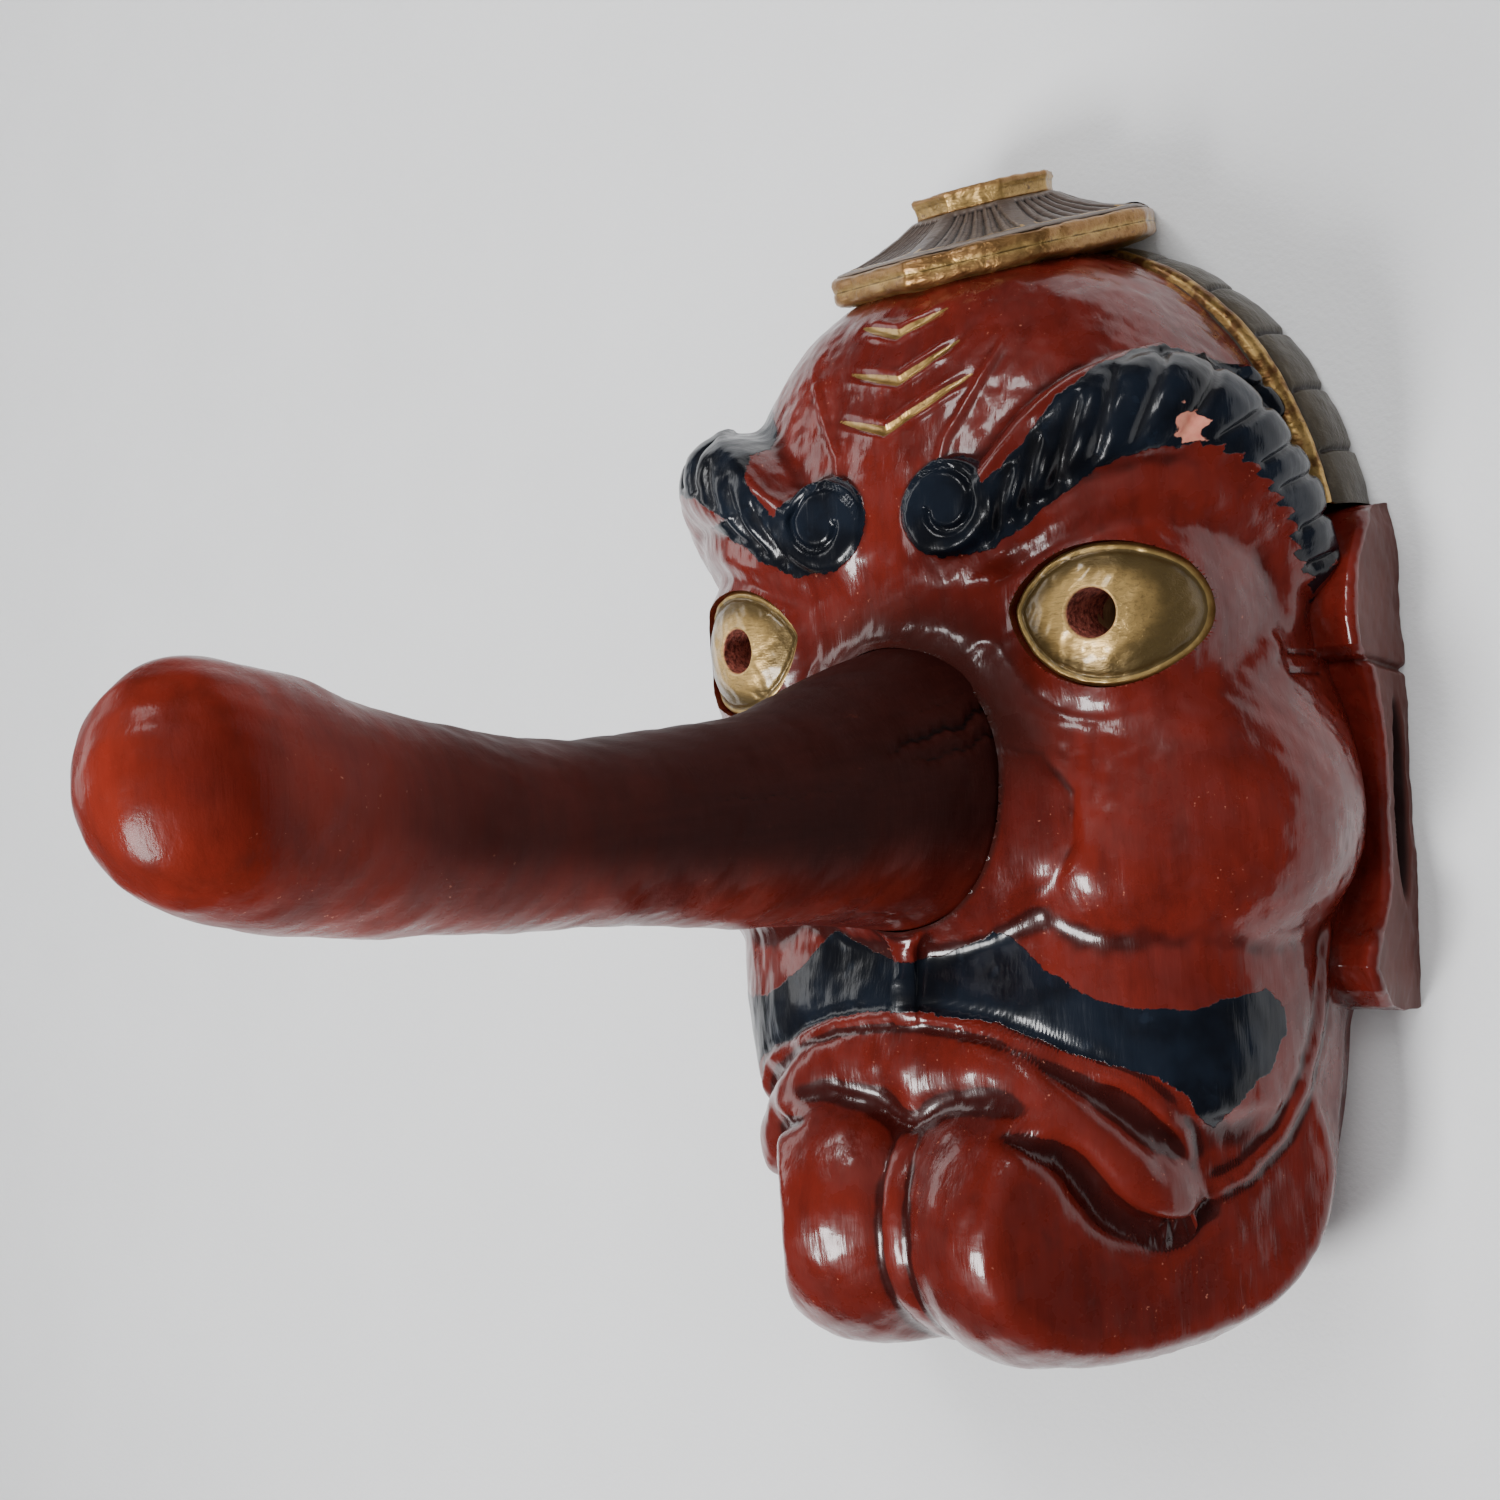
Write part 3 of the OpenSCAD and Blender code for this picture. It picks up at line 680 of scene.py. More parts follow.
def make_face():
    """The carved front, with its fine grooves and the distances that its paint follows."""
    field = Face()
    G = carve(field, 112, 132)
    G = settle(field, refine(G, 4), 3, 0.5)
    G, within = crisp_edges(field, G)
    n, _ = slope(field, G.reshape(-1, 3), 0.35)
    n = n.reshape(G.shape)
    s, z = np.abs(wrap_s(G)), G[..., 2]
    near = s + 0.35 * lumps(G, 16, 3)
    lower = z - 8 * step(24, 38, s) * (G[..., 0] < 0)
    top = BROW_TOP + BROW_LOW[::-1]
    brow = inside_distance(near, np.where(z > 62, lower, z) + 0.4 * lumps(G, 9, 4), top)
    curl = np.hypot((np.abs(G[..., 0]) - 19) / 1.1, z - 57) - 12.2
    front = G[..., 1] > 70
    brow = np.where(front, np.minimum(brow, curl), brow)
    # slanted comb grooves, deepest in the middle of the brow
    comb = np.full(s.shape, 1e9)
    for line in COMB:
        d, along = line_distance(s, z, line)
        comb = np.minimum(comb, d + 1.2 * np.abs(2 * along - 1) ** 6)
    free = step(-0.4, -2.2, brow) * np.where(front, step(0.5, 2.5, curl), 1)
    depth = 1.35 * np.exp(-(comb / 1.15) ** 2) * free + 0.5 * np.exp(-(comb / 3.4) ** 2) * free
    # spiral cut into the curl of the brow
    across, above = (np.abs(G[..., 0]) - 19) / 1.1, z - 57
    round_curl = np.hypot(across, above)
    turn = np.arctan2(above, across)
    spiral = round_curl - 7.7 - 1.15 * turn
    open_ring = step(10.9, 9.9, round_curl) * step(2.5, 4, round_curl)
    depth = depth + 1.5 * np.exp(-(spiral / 0.85) ** 2) * open_ring * front
    # teeth along the lower edge of the brow's outer half
    d, along = line_distance(s, z, BROW_LOW)
    tooth = (np.mod(along * 24, 1) - 0.35) * 2.0 * step(0.46, 0.56, along)
    brow = brow + np.where(d < 8, tooth, 0) + 0.25 * lumps(G, 3.2, 5)
    # lines cut into the forehead
    signed = wrap_s(G)
    gold = np.full(s.shape, -9.0)
    for line in WRINKLES:
        d, along = line_distance(signed, z, line)
        width = 1.05 * np.sin(math.pi * np.clip(along, 0.015, 0.985)) ** 0.7
        gold = np.maximum(gold, width + 0.25 - d)
        depth = depth + 1.0 * np.exp(-(d / 1.0) ** 2) * np.minimum(width, 1)
        depth = depth - 0.45 * np.exp(-((d - 2.0) / 0.9) ** 2) * np.minimum(width, 1)
    d, along = line_distance(s, z, TEMPLE_LINE)
    depth = depth - 0.7 * np.exp(-(d / 1.1) ** 2) * np.sin(math.pi * np.clip(along, 0, 1)) ** 0.5
    # ridges along the upper lip and the smile line, and the fold inside the lip's corner
    for line, high, wide in ((LIP_RIDGE, 1.0, 1.3), (SMILE_LINE, 0.9, 1.4)):
        d, along = line_distance(s, z, line)
        ends = step(1.0, 0.93, along) * (1 if line is LIP_RIDGE else step(0, 0.12, along))
        trough = 0.5 * np.exp(-((d - 2.1 * wide) / (0.8 * wide)) ** 2)
        depth = depth - high * ends * (np.exp(-(d / wide) ** 2) - trough)
    d, along = line_distance(s, z, LIP_FOLD)
    leaf = np.sin(math.pi * np.clip(along, 0, 1)) ** 0.7
    depth = depth + 2.4 * leaf * np.exp(-(d / (1.2 + 1.9 * leaf)) ** 2)
    d, along = line_distance(s, z, WING_CREASE)
    depth = depth + 0.8 * np.exp(-(d / 1.3) ** 2) * np.sin(math.pi * np.clip(along, 0, 1)) ** 0.6
    # small creases beside the eye and by the ear
    for line in ([(84, 16), (93, 15.5)], [(83, 11.5), (94, 11)]):
        d, along = line_distance(s, z, line)
        depth = depth + 0.7 * np.exp(-(d / 0.7) ** 2)
    rim = step(0, 3, G[..., 1])
    depth = (depth - 0.32 * lumps(G, 30, 1, 2) - 0.13 * lumps(G, 8, 2, 2)) * rim
    moustache = inside_distance(np.abs(signed + 0.4 * lumps(G, 7, 6)), z + 0.5 * lumps(G, 9, 7),
                                MOUSTACHE)
    moustache = moustache + 0.2 * lumps(G, 3, 8)
    sideburn = inside_distance(s, z + 0.3 * lumps(G, 5, 9), SIDEBURN)
    chip = np.hypot((signed - 62.5) / 0.8, (z - 68.5) / 1.15) - 3.4 + 1.3 * lumps(G, 3.5, 10)
    G = G - n * depth[..., None]
    normal = grid_normals(G)
    flip = np.sign((normal * n).sum())
    normal = normal * flip
    hollow = hollowness(G, normal, rounds=5)
    seat = seat_edge(G[..., 0], z)
    attrs = {"brow": brow, "moustache": moustache, "gold": gold, "sideburn": sideburn, "chip": chip,
             "cav": hollow * 1.0, "comb": comb, "seat": seat,
             "high": z - NOSE_Z}
    return G, normal, attrs, flip > 0, field, within


# ------------------------------ paints
RED_LIGHT, RED_MID, RED_DARK = (0.128, 0.0115, 0.0068), (0.082, 0.0072, 0.0045), (0.019, 0.0025, 0.002)
BLACK_BLUE, BLACK_DEEP = (0.0055, 0.0085, 0.015), (0.0025, 0.003, 0.005)
GOLD_LIGHT, GOLD_MID, GOLD_DARK = (0.56, 0.36, 0.13), (0.33, 0.2, 0.062), (0.055, 0.034, 0.014)


def gold_layers(p):
    """Colour, metal share, roughness and relief of brushed, worn gold paint."""
    cloud = p.noise(9, 4.0, 0.6, warp=0.5)
    hair = p.noise(0.8, 3.0, 0.6, stretch=(0.2, 1.0, 1.0), warp=0.3)
    colour = p.mix(p.ramp(cloud, 0.32, 0.68), GOLD_MID, GOLD_LIGHT)
    colour = p.mix(p.ramp(hair, 0.5, 0.8, 0.0, 0.45), colour, GOLD_DARK)
    worn = p.ramp(p.noise(3.2, 4.0, 0.65), 0.62, 0.7)
    colour = p.mix(p.math("MULTIPLY", worn, 0.75), colour, (0.085, 0.04, 0.02))
    metal = p.math("SUBTRACT", 0.85, p.math("MULTIPLY", worn, 0.5))
    rough = p.ramp(cloud, 0.3, 0.7, 0.28, 0.44)
    height = p.math("MULTIPLY_ADD", cloud, 2.0, hair)
    return colour, metal, rough, height


def lacquer_material():
    """Red lacquer of the face with its blacks, gold lines, chip and the painted shade above the nose."""
    p = Paint("face_lacquer")
    colour, rough, height = lacquer_layers(p, RED_LIGHT, RED_MID, RED_DARK)
    ragged = p.math("MULTIPLY", p.math("SUBTRACT", p.noise(1.6, 3.0, 0.6), 0.5), 1.3)
    edge = 0.12
    brow = p.ramp(p.math("ADD", p.attr("brow"), ragged), edge, -edge)
    burn = p.ramp(p.math("ADD", p.attr("sideburn"), ragged), edge, -edge)
    lip = p.ramp(p.math("ADD", p.attr("moustache"), ragged), edge, -edge)
    black = p.math("MAXIMUM", p.math("MAXIMUM", brow, burn), lip)
    ink = p.mix(p.ramp(p.noise(14, 3.0), 0.35, 0.65), BLACK_DEEP, BLACK_BLUE)
    ink = p.mix(p.ramp(p.attr("comb"), 1.6, 0.3, 0.0, 0.4), ink, (0.02, 0.019, 0.02))
    ink = p.mix(p.ramp(p.noise(6, 3.0), 0.6, 0.75, 0.0, 0.3), ink, (0.015, 0.024, 0.04))
    chip = p.ramp(p.math("ADD", p.attr("chip"), ragged), 0.15, -0.15)
    wood = p.mix(p.noise(1.6, 3.0), (0.5, 0.13, 0.1), (0.66, 0.3, 0.2))
    colour = p.mix(black, colour, ink)
    colour = p.mix(chip, colour, wood)
    g_colour, g_metal, g_rough, _ = gold_layers(p)
    gold = p.ramp(p.math("ADD", p.attr("gold"), p.math("MULTIPLY", ragged, 0.25)), 0.0, 0.2)
    colour = p.mix(gold, colour, g_colour)
    seam = p.ramp(p.attr("seat"), 1.2, 0.2, 0.0, 0.8)
    # painted shade: the bridge above the nose root darkens to near black
    nose_top_shade = p.math("MULTIPLY", p.ramp(p.attr("seat"), 20.0, 0.0),
                   p.ramp(p.attr("high"), -8.0, 14.0, 0.0, 0.85))
    colour = p.mix(nose_top_shade, colour, (0.03, 0.008, 0.006))
    colour = p.mix(seam, colour, (0.03, 0.008, 0.006))
    rough = p.blend(black, rough, 0.27)
    rough = p.blend(chip, rough, 0.7)
    coat = p.math("SUBTRACT", p.blend(black, 0.5, 0.26), p.math("MULTIPLY", chip, 0.3))
    film = p.math("SUBTRACT", p.math("MULTIPLY_ADD", black, 1.2, height), p.math("MULTIPLY", chip, 5.0))
    normal = p.bump(film, 0.12)
    return p.done(Base_Color=colour, Metallic=p.math("MULTIPLY", gold, g_metal),
                  Roughness=p.blend(gold, rough, g_rough),
                  Coat_Weight=coat, Coat_Roughness=0.11, Specular_IOR_Level=0.25,
                  Normal=normal, Coat_Normal=p.bump(film, 0.075))


def gold_material(name):
    """Worn gold paint over red."""
    p = Paint(name)
    colour, metal, rough, height = gold_layers(p)
    # painted shade in the creases; the ridges are worn through to the red
    colour = p.mix(p.ramp(p.attr("cav"), 0.01, 0.2, 0.0, 0.8), colour, GOLD_DARK)
    colour = p.mix(p.ramp(p.attr("cav"), -0.3, -0.06, 0.5, 0.0), colour, (0.2, 0.07, 0.03))
    return p.done(Base_Color=colour, Metallic=metal, Roughness=rough, Coat_Weight=0.25,
                  Coat_Roughness=0.2,
                  Normal=p.bump(height, 0.22))


def eye_material():
    """Gilded eyes with bare wood inside the pupils."""
    p = Paint("eye_gilding")
    # brush strokes run round the pupil; painted highlight: the gold is brightest near the pupil, with
    # painted shade towards the corners
    hair = p.noise(0.55, 3.0, 0.65, stretch=(0.16, 1.0, 1.0), warp=0.6)
    cloud = p.noise(12, 3.0, 0.6, warp=0.4)
    drift = p.math("MULTIPLY", p.math("SUBTRACT", cloud, 0.5), 0.6)
    lit = p.math("ADD", p.ramp(p.attr("reach"), 0.05, 0.85, 0.56, 0.0), drift)
    colour = p.mix(p.ramp(lit, 0.1, 0.6), (0.14, 0.092, 0.033), (0.68, 0.44, 0.155))
    colour = p.mix(p.ramp(hair, 0.45, 0.7, 0.0, 0.45), colour, (0.12, 0.08, 0.034))
    rim = p.ramp(p.attr("rim"), 0.35, 0.6)
    colour = p.mix(rim, colour, p.mix(p.noise(3, 3.0), (0.2, 0.12, 0.035), (0.62, 0.42, 0.15)))
    raw = p.attr("raw")
    wood = p.mix(p.ramp(p.noise(1.3, 4.0, 0.7), 0.35, 0.65), (0.09, 0.018, 0.014), (0.42, 0.12, 0.085))
    colour = p.mix(raw, colour, wood)
    # painted shade in the creases
    colour = p.mix(p.ramp(p.attr("cav"), 0.02, 0.2, 0.0, 0.85), colour, (0.02, 0.014, 0.008))
    height = p.math("MULTIPLY_ADD", cloud, 1.5, hair)
    height = p.math("MULTIPLY_ADD", raw, p.math("MULTIPLY", p.noise(1.2, 4.0, 0.7), 5.0), height)
    return p.done(Base_Color=colour, Metallic=p.blend(raw, 0.72, 0.0), Roughness=p.blend(raw, 0.36, 0.75),
                  Coat_Weight=p.blend(raw, 0.5, 0.0), Coat_Roughness=0.16, Normal=p.bump(height, 0.16))


def nose_material():
    """Red lacquer with painted shade that darkens it to brown over the top of the root."""
    p = Paint("nose_lacquer")
    colour, rough, height = lacquer_layers(p, (0.17, 0.017, 0.009), (0.1, 0.0095, 0.006),
                                           (0.04, 0.006, 0.004))
    grain = p.noise(2.4, 4.0, 0.6, stretch=(1.0, 0.06, 1.0), warp=0.3)
    # painted shade, nearly black over the top of the root, and painted light, warmer on the underside;
    # warmer towards the tip as well
    shade = p.uneven(p.attr("dark"), 26, 0.3)
    brown = p.mix(grain, (0.011, 0.003, 0.0026), (0.026, 0.0065, 0.005))
    colour = p.mix(p.ramp(shade, 0.0, 1.0, 0.0, 0.93), colour, brown)
    colour = p.mix(p.ramp(p.attr("crack"), 0.55, 0.1), colour, (0.006, 0.003, 0.003))
    rubbed = p.ramp(p.noise(5, 4.0, 0.7, stretch=(1.0, 0.3, 1.0)), 0.68, 0.76, 0.0, 0.3)
    colour = p.mix(rubbed, colour, (0.12, 0.03, 0.018))
    height = p.math("MULTIPLY_ADD", grain, 0.8, height)
    dull = p.ramp(shade, 0.1, 0.9)
    return p.done(Base_Color=colour, Roughness=p.blend(dull, rough, 0.5),
                  Coat_Weight=p.blend(dull, 0.12, 0.0),
                  Coat_Roughness=0.15, Specular_IOR_Level=0.06,
                  Normal=p.bump(height, 0.1), Coat_Normal=p.bump(height, 0.07))


def ear_material():
    """Red lacquer, browner on the outer sides."""
    p = Paint("ear_lacquer")
    colour, rough, height = lacquer_layers(p, RED_LIGHT, RED_MID, RED_DARK)
    side = p.attr("side")
    brown = p.mix(p.noise(18, 3.0), (0.05, 0.018, 0.014), (0.1, 0.03, 0.022))
    colour = p.mix(p.math("MULTIPLY", side, 0.75), colour, brown)
    # painted shade: the leaf-shaped hollow by the wall is painted near black
    colour = p.mix(p.ramp(p.attr("leaf"), 0.2, 0.8, 0.0, 0.92), colour, (0.012, 0.004, 0.004))
    return p.done(Base_Color=colour, Roughness=p.blend(side, rough, 0.5),
                  Coat_Weight=p.blend(side, 0.6, 0.05),
                  Coat_Roughness=0.12, Specular_IOR_Level=0.25,
                  Normal=p.bump(height, 0.12), Coat_Normal=p.bump(height, 0.07))


def roof_material():
    """Brown paint of the cap's pleats with gilded panel lines."""
    p = Paint("cap_roof_paint")
    cloud = p.noise(7, 4.0, 0.6)
    colour = p.mix(cloud, (0.035, 0.024, 0.02), (0.11, 0.08, 0.066))
    # painted shade in the creases between the pleats, paler on the ridges
    colour = p.mix(p.ramp(p.attr("cav"), 0.0, 0.16, 0.0, 0.9), colour, (0.012, 0.009, 0.008))
    colour = p.mix(p.ramp(p.attr("cav"), -0.25, -0.04, 0.6, 0.0), colour, (0.23, 0.19, 0.16))
    g_colour, g_metal, g_rough, g_height = gold_layers(p)
    gold = p.ramp(p.uneven(p.attr("frame"), 2, 0.5), 0.42, 0.58)
    colour = p.mix(gold, colour, g_colour)
    return p.done(Base_Color=colour, Metallic=p.math("MULTIPLY", gold, g_metal),
                  Roughness=p.blend(gold, 0.4, g_rough),
                  Coat_Weight=0.1, Coat_Roughness=0.25,
                  Specular_IOR_Level=0.25, Normal=p.bump(p.math("ADD", cloud, g_height), 0.18))


def band_material():
    """Grey-brown paint of the band with a gilded ridge."""
    p = Paint("band_paint")
    cloud = p.noise(8, 4.0, 0.6, warp=0.4)
    streak = p.noise(1.6, 3.0, 0.6, stretch=(0.25, 1.0, 0.25))
    colour = p.mix(cloud, (0.026, 0.021, 0.015), (0.075, 0.062, 0.045))
    colour = p.mix(p.ramp(streak, 0.5, 0.8, 0.0, 0.45), colour, (0.13, 0.11, 0.08))
    # painted shade in the creases and in the carved joints
    colour = p.mix(p.ramp(p.attr("cav"), 0.02, 0.25, 0.0, 0.9), colour, (0.014, 0.009, 0.007))
    g_colour, g_metal, g_rough, g_height = gold_layers(p)
    g_colour = p.mix(p.ramp(p.noise(4, 3.0), 0.42, 0.62, 0.0, 0.8), g_colour, (0.1, 0.03, 0.014))
    gold = p.ramp(p.uneven(p.attr("frame"), 2.4, 0.7), 0.4, 0.6)
    colour = p.mix(gold, colour, g_colour)
    return p.done(Base_Color=colour, Metallic=p.math("MULTIPLY", gold, g_metal),
                  Roughness=p.blend(gold, 0.36, g_rough),
                  Coat_Weight=0.12, Coat_Roughness=0.2,
                  Specular_IOR_Level=0.25, Normal=p.bump(p.math("ADD", streak, g_height), 0.2))


def wood_material(name, light=(0.34, 0.2, 0.1), dark=(0.15, 0.075, 0.035)):
    """A new paint with the colour and relief of bare wood."""
    p = Paint(name)
    rings = p.noise(5.5, 4.0, 0.6, stretch=(1.0, 1.0, 0.07), warp=0.5)
    fine = p.noise(0.9, 3.0, 0.6, stretch=(1.0, 1.0, 0.05))
    colour = p.mix(p.ramp(rings, 0.35, 0.65), light, dark)
    colour = p.mix(p.ramp(fine, 0.5, 0.75, 0.0, 0.5), colour, dark)
    colour = p.mix(p.ramp(p.noise(40, 3.0), 0.45, 0.75, 0.0, 0.55), colour, (0.09, 0.045, 0.025))
    height = p.math("ADD", fine, rings)
    return p, colour, height


def back_material():
    """Bare wood of the mask's back, with red running over its rim."""
    p, colour, height = wood_material("bare_back")
    red = p.ramp(p.math("ADD", p.attr("rimline"), p.math("MULTIPLY", p.noise(4, 3.0), 3.0)), 3.4, 2.6)
    colour = p.mix(red, colour, RED_MID)
    # painted shade in the hollows
    colour = p.mix(p.ramp(p.attr("cav"), 0.03, 0.3, 0.0, 0.7), colour, (0.04, 0.02, 0.012))
    return p.done(Base_Color=colour, Roughness=p.blend(red, 0.72, 0.45), Normal=p.bump(height, 0.25))


def plain_wood(name):
    """Pale bare wood."""
    p, colour, height = wood_material(name, (0.42, 0.27, 0.14), (0.2, 0.11, 0.05))
    return p.done(Base_Color=colour, Roughness=0.62, Normal=p.bump(height, 0.15))


def metal_material(name, light, dark, rough):
    """Tarnished metal."""
    p = Paint(name)
    cloud = p.noise(2.2, 4.0, 0.65)
    scratch = p.noise(0.35, 2.0, 0.6, stretch=(0.12, 1.0, 1.0))
    colour = p.mix(p.ramp(cloud, 0.35, 0.7), light, dark)
    return p.done(Base_Color=colour, Metallic=0.95, Roughness=p.ramp(cloud, 0.3, 0.7, rough, rough + 0.2),
                  Normal=p.bump(scratch, 0.03))


# ------------------------------ nose
# stations of the nose: forward, middle height, half height, half width
NOSE_LINE = [(77, -10.5, 34.5, 32), (89, -10.5, 34.2, 31.7), (112, -12, 29.4, 27.3),
             (138, -14, 24.5, 23.5),
             (168, -13.7, 21.3, 21), (198, -13.2, 19.4, 19.6), (228, -10.4, 19.8, 20),
             (251, -6.6, 21.4, 21.2),
             (274, -2.1, 23.2, 22.6), (290, 1.2, 23, 22.5), (305.5, 3.5, 22.5, 22)]
NOSE_TIP, TIP_ROUND, TENON_R = 305.5, 22.5, 12.0


def make_nose():
    """The nose, from its flat back to its round tip."""
    n_long, n_round, n_back = ((420, 224, 12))
    line = catmull(NOSE_LINE, 24)
    e = np.linspace(0, 1, n_long) ** 0.94
    bend = (NOSE_TIP - SEAT_F - TIP_ROUND) / (NOSE_TIP - SEAT_F)
    run = np.clip(e / bend, 0, 1)
    over = np.clip((e - bend) / (1 - bend), 0, 1) * math.pi / 2
    f = SEAT_F + run * (NOSE_TIP - SEAT_F - TIP_ROUND) + TIP_ROUND * np.sin(over)
    shrink = np.cos(over)
    zc, hz, hx = (np.interp(f, line[:, 0], line[:, k]) for k in (1, 2, 3))
    a = around(n_round)[None, :]
    G = joined((hx * shrink)[:, None] * np.cos(a), f[:, None],
               zc[:, None] + (hz * shrink)[:, None] * np.sin(a))
    n = grid_normals(G, True)
    n[-1] = (0, 1, 0)
    centre = np.stack([0 * zc, f - 1, zc], -1)[:, None, :]
    n *= np.sign((n * (G - centre)).sum(-1, keepdims=True))
    fade = step(77, 84, f)[:, None]
    angle = np.degrees(np.broadcast_to(a, G.shape[:2]))
    angle = np.where(angle > 180, angle - 360, angle)
    arc = np.radians(angle) * 30
    far = G[..., 1]
    crack, cut = np.full(far.shape, 9.0), np.zeros(far.shape)
    for line_pts, wide, deep in (([(78, 18), (86, 16.5), (95, 14), (106, 14.5), (118, 13)], 0.8, 1.6),
                                 ([(79, 10), (88, 10.5), (99, 8.5), (112, 9)], 0.45, 0.9),
                                 ([(84, 21), (98, 20), (109, 20.5)], 0.25, 0.4),
                                 ([(128, 8), (150, 6.5), (176, 8)], 0.22, 0.3),
                                 ([(92, -34), (120, -33), (141, -35)], 0.25, 0.3),
                                 ([(160, 60), (188, 61), (205, 59)], 0.22, 0.3),
                                 ([(84, 74), (104, 72), (126, 75)], 0.4, 0.7)):
        d, along = line_distance(far, arc + 0.5 * np.sin(far * 0.55) + 0.25 * np.sin(far * 1.7), line_pts)
        taper = np.sin(math.pi * np.clip(along, 0.02, 0.98)) ** 0.5
        crack = np.minimum(crack, d / np.maximum(taper * wide * 2, 0.05))
        cut = np.maximum(cut, deep * taper * np.exp(-(d / (wide + 0.35)) ** 2))
    cut = cut - (0.55 * lumps(G, 42, 21, 2) + 0.16 * lumps(G, 11, 22, 2)) * fade
    cut = cut + 0.5 * np.exp(-((far - 77.0) / 1.1) ** 2)
    G = G - n * cut[..., None]
    # back of the nose, from the tenon out to the rim
    b = np.linspace(0, 1, n_back)[:, None]
    inner = joined(TENON_R * np.cos(a), SEAT_F + 0.1 + 0 * a, NOSE_Z + TENON_R * np.sin(a))
    back = inner * (1 - b[..., None]) + G[:1] * b[..., None]
    back[:, :, 1] = SEAT_F + 0.1
    G = np.concatenate([back[:-1], G])
    pad = lambda v, fill: np.concatenate([np.full((n_back - 1, n_round), fill), v])
    top = np.sin(a) + 0 * far
    # painted shade: darkest over the top and the root, lighter on the underside and towards the tip
    dark = 1.0 - 0.25 * step(150, 235, far) - 0.75 * step(235, 296, far) - 0.75 * step(-0.05, -0.85, top)
    cav = hollowness(G, grid_normals(G, True), True)
    if np.sum(grid_normals(G, True)[n_back + 5] * (G[n_back + 5] - [0, G[n_back + 5, 0, 1], NOSE_Z])) < 0:
        cav = -cav
    attrs = {"dark": pad(dark, 0.4), "crack": pad(crack, 9.0), "cav": np.clip(cav, -0.4, 0.4)}
    F = grid_faces(len(G), n_round, True)
    ob = build("nose_wood", row(G), [F], attrs)
    face_out(ob)
    return piece(ob, "nose_plug", ["nose"], nose_material())


def face_out(ob):
    """Turns every face of a closed piece outwards and welds doubled points."""
    import bmesh
    bm = bmesh.new()
    bm.from_mesh(ob.data)
    bmesh.ops.remove_doubles(bm, verts=bm.verts, dist=1e-6)
    bmesh.ops.dissolve_degenerate(bm, dist=1e-7, edges=bm.edges)
    bmesh.ops.recalc_face_normals(bm, faces=bm.faces)
    bm.to_mesh(ob.data)
    bm.free()


# ------------------------------ eyes
PUPIL, PUPIL_R = (53.8, 28.0), 5.9


def make_eye(side, field):
    """One gilded eye: the drilled pupil, the ball and its beaded rim."""
    n_round, n_ball = ((300, 84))
    a = around(n_round)
    R = boundary(lambda reach: almond(PUPIL[0] + reach * np.cos(a), PUPIL[1] + reach * np.sin(a)) < -0.15,
                 np.full(n_round, 6.0), np.full(n_round, 40.0), 30)

    def ring(r, sink=0.0):
        """Points of the eyeball at a distance r from the pupil's middle, never proud of the face."""
        x, z = PUPIL[0] + r * np.cos(a), PUPIL[1] + r * np.sin(a)
        ball = EYE[1] + np.sqrt(np.maximum(29.8 ** 2 - (x - EYE[0]) ** 2 - (z - EYE[2]) ** 2, 1.0))
        near = boundary(lambda f: field(x, f, z) < -1.5, np.full(x.shape, 20.0), np.full(x.shape, 100.0),
                        22)
        return np.stack([x, smin(ball, near, 3.0) - sink, z], -1)

    rows, marks = [], []

    def add(g, rim, raw, reach):
        """One more ring of points, with its marks for the paint."""
        rows.append(g)
        marks.append((rim, raw, reach))

    for k in np.linspace(0, 1, 14):
        wob = PUPIL_R - 0.1 + 0.35 * np.sin(a * 5 + 9 * k) * np.sin(3.1 * k + a) * (1 - k)
        g = ring(wob)
        g[:, 1] = 62 + (g[:, 1] - 0.9 - 62) * k
        add(g, 0, 1, 0)
    for r, sink in ((PUPIL_R + 0.15, 0.35), (PUPIL_R + 0.5, 0.05)):
        add(ring(r, sink), 0, 0.35 if sink > 0.2 else 0, 0)
    for t in np.linspace(0, 1, n_ball)[1:]:
        r = PUPIL_R + 0.5 + (R - PUPIL_R - 0.5) * t
        left = R - r
        bead = np.exp(-((left - 0.95) / 0.75) ** 2) * 0.75 - 0.35 * np.exp(-((left - 2.4) / 0.6) ** 2)
        g = ring(r)
        g[:, 1] += bead
        add(g, np.exp(-((left - 0.75) / 1.15) ** 4), 0, t)
    for d in (0.8, 4.0, 9.0):
        g = ring(R + 0.12)
        g[:, 1] = np.maximum(g[:, 1] - d, 47)
        add(g, 0, 0, 1)
    G = np.array(rows)
    G[14:-3, :, 1] += 0.16 * lumps(G[14:-3], 6, 31, 2)
    rim, raw, reach = (np.array([np.broadcast_to(v, n_round) for v in seq], float) for seq in zip(*marks))
    n = grid_normals(G, True)
    n *= np.where(n[..., 1:2] < 0, -1, 1)
    cav = np.clip(hollowness(G, n, True), -0.3, 0.3)
    cav[:15] = 0
    G[..., 0] *= side
    ob = build(f"eye_ball_{SIDE[side]}", row(G), grid_faces(len(G), n_round, True, flip=side < 0),
               {"rim": rim, "raw": raw, "reach": reach, "cav": cav})
    return piece(ob, "mask", [f"eye_{SIDE[side]}"], EYE_MAT)


# ------------------------------ cap
CAP_F, CAP_Z, CAP_LEAN, TOP_Z = 21.5, 126.4, math.radians(14), 150.0


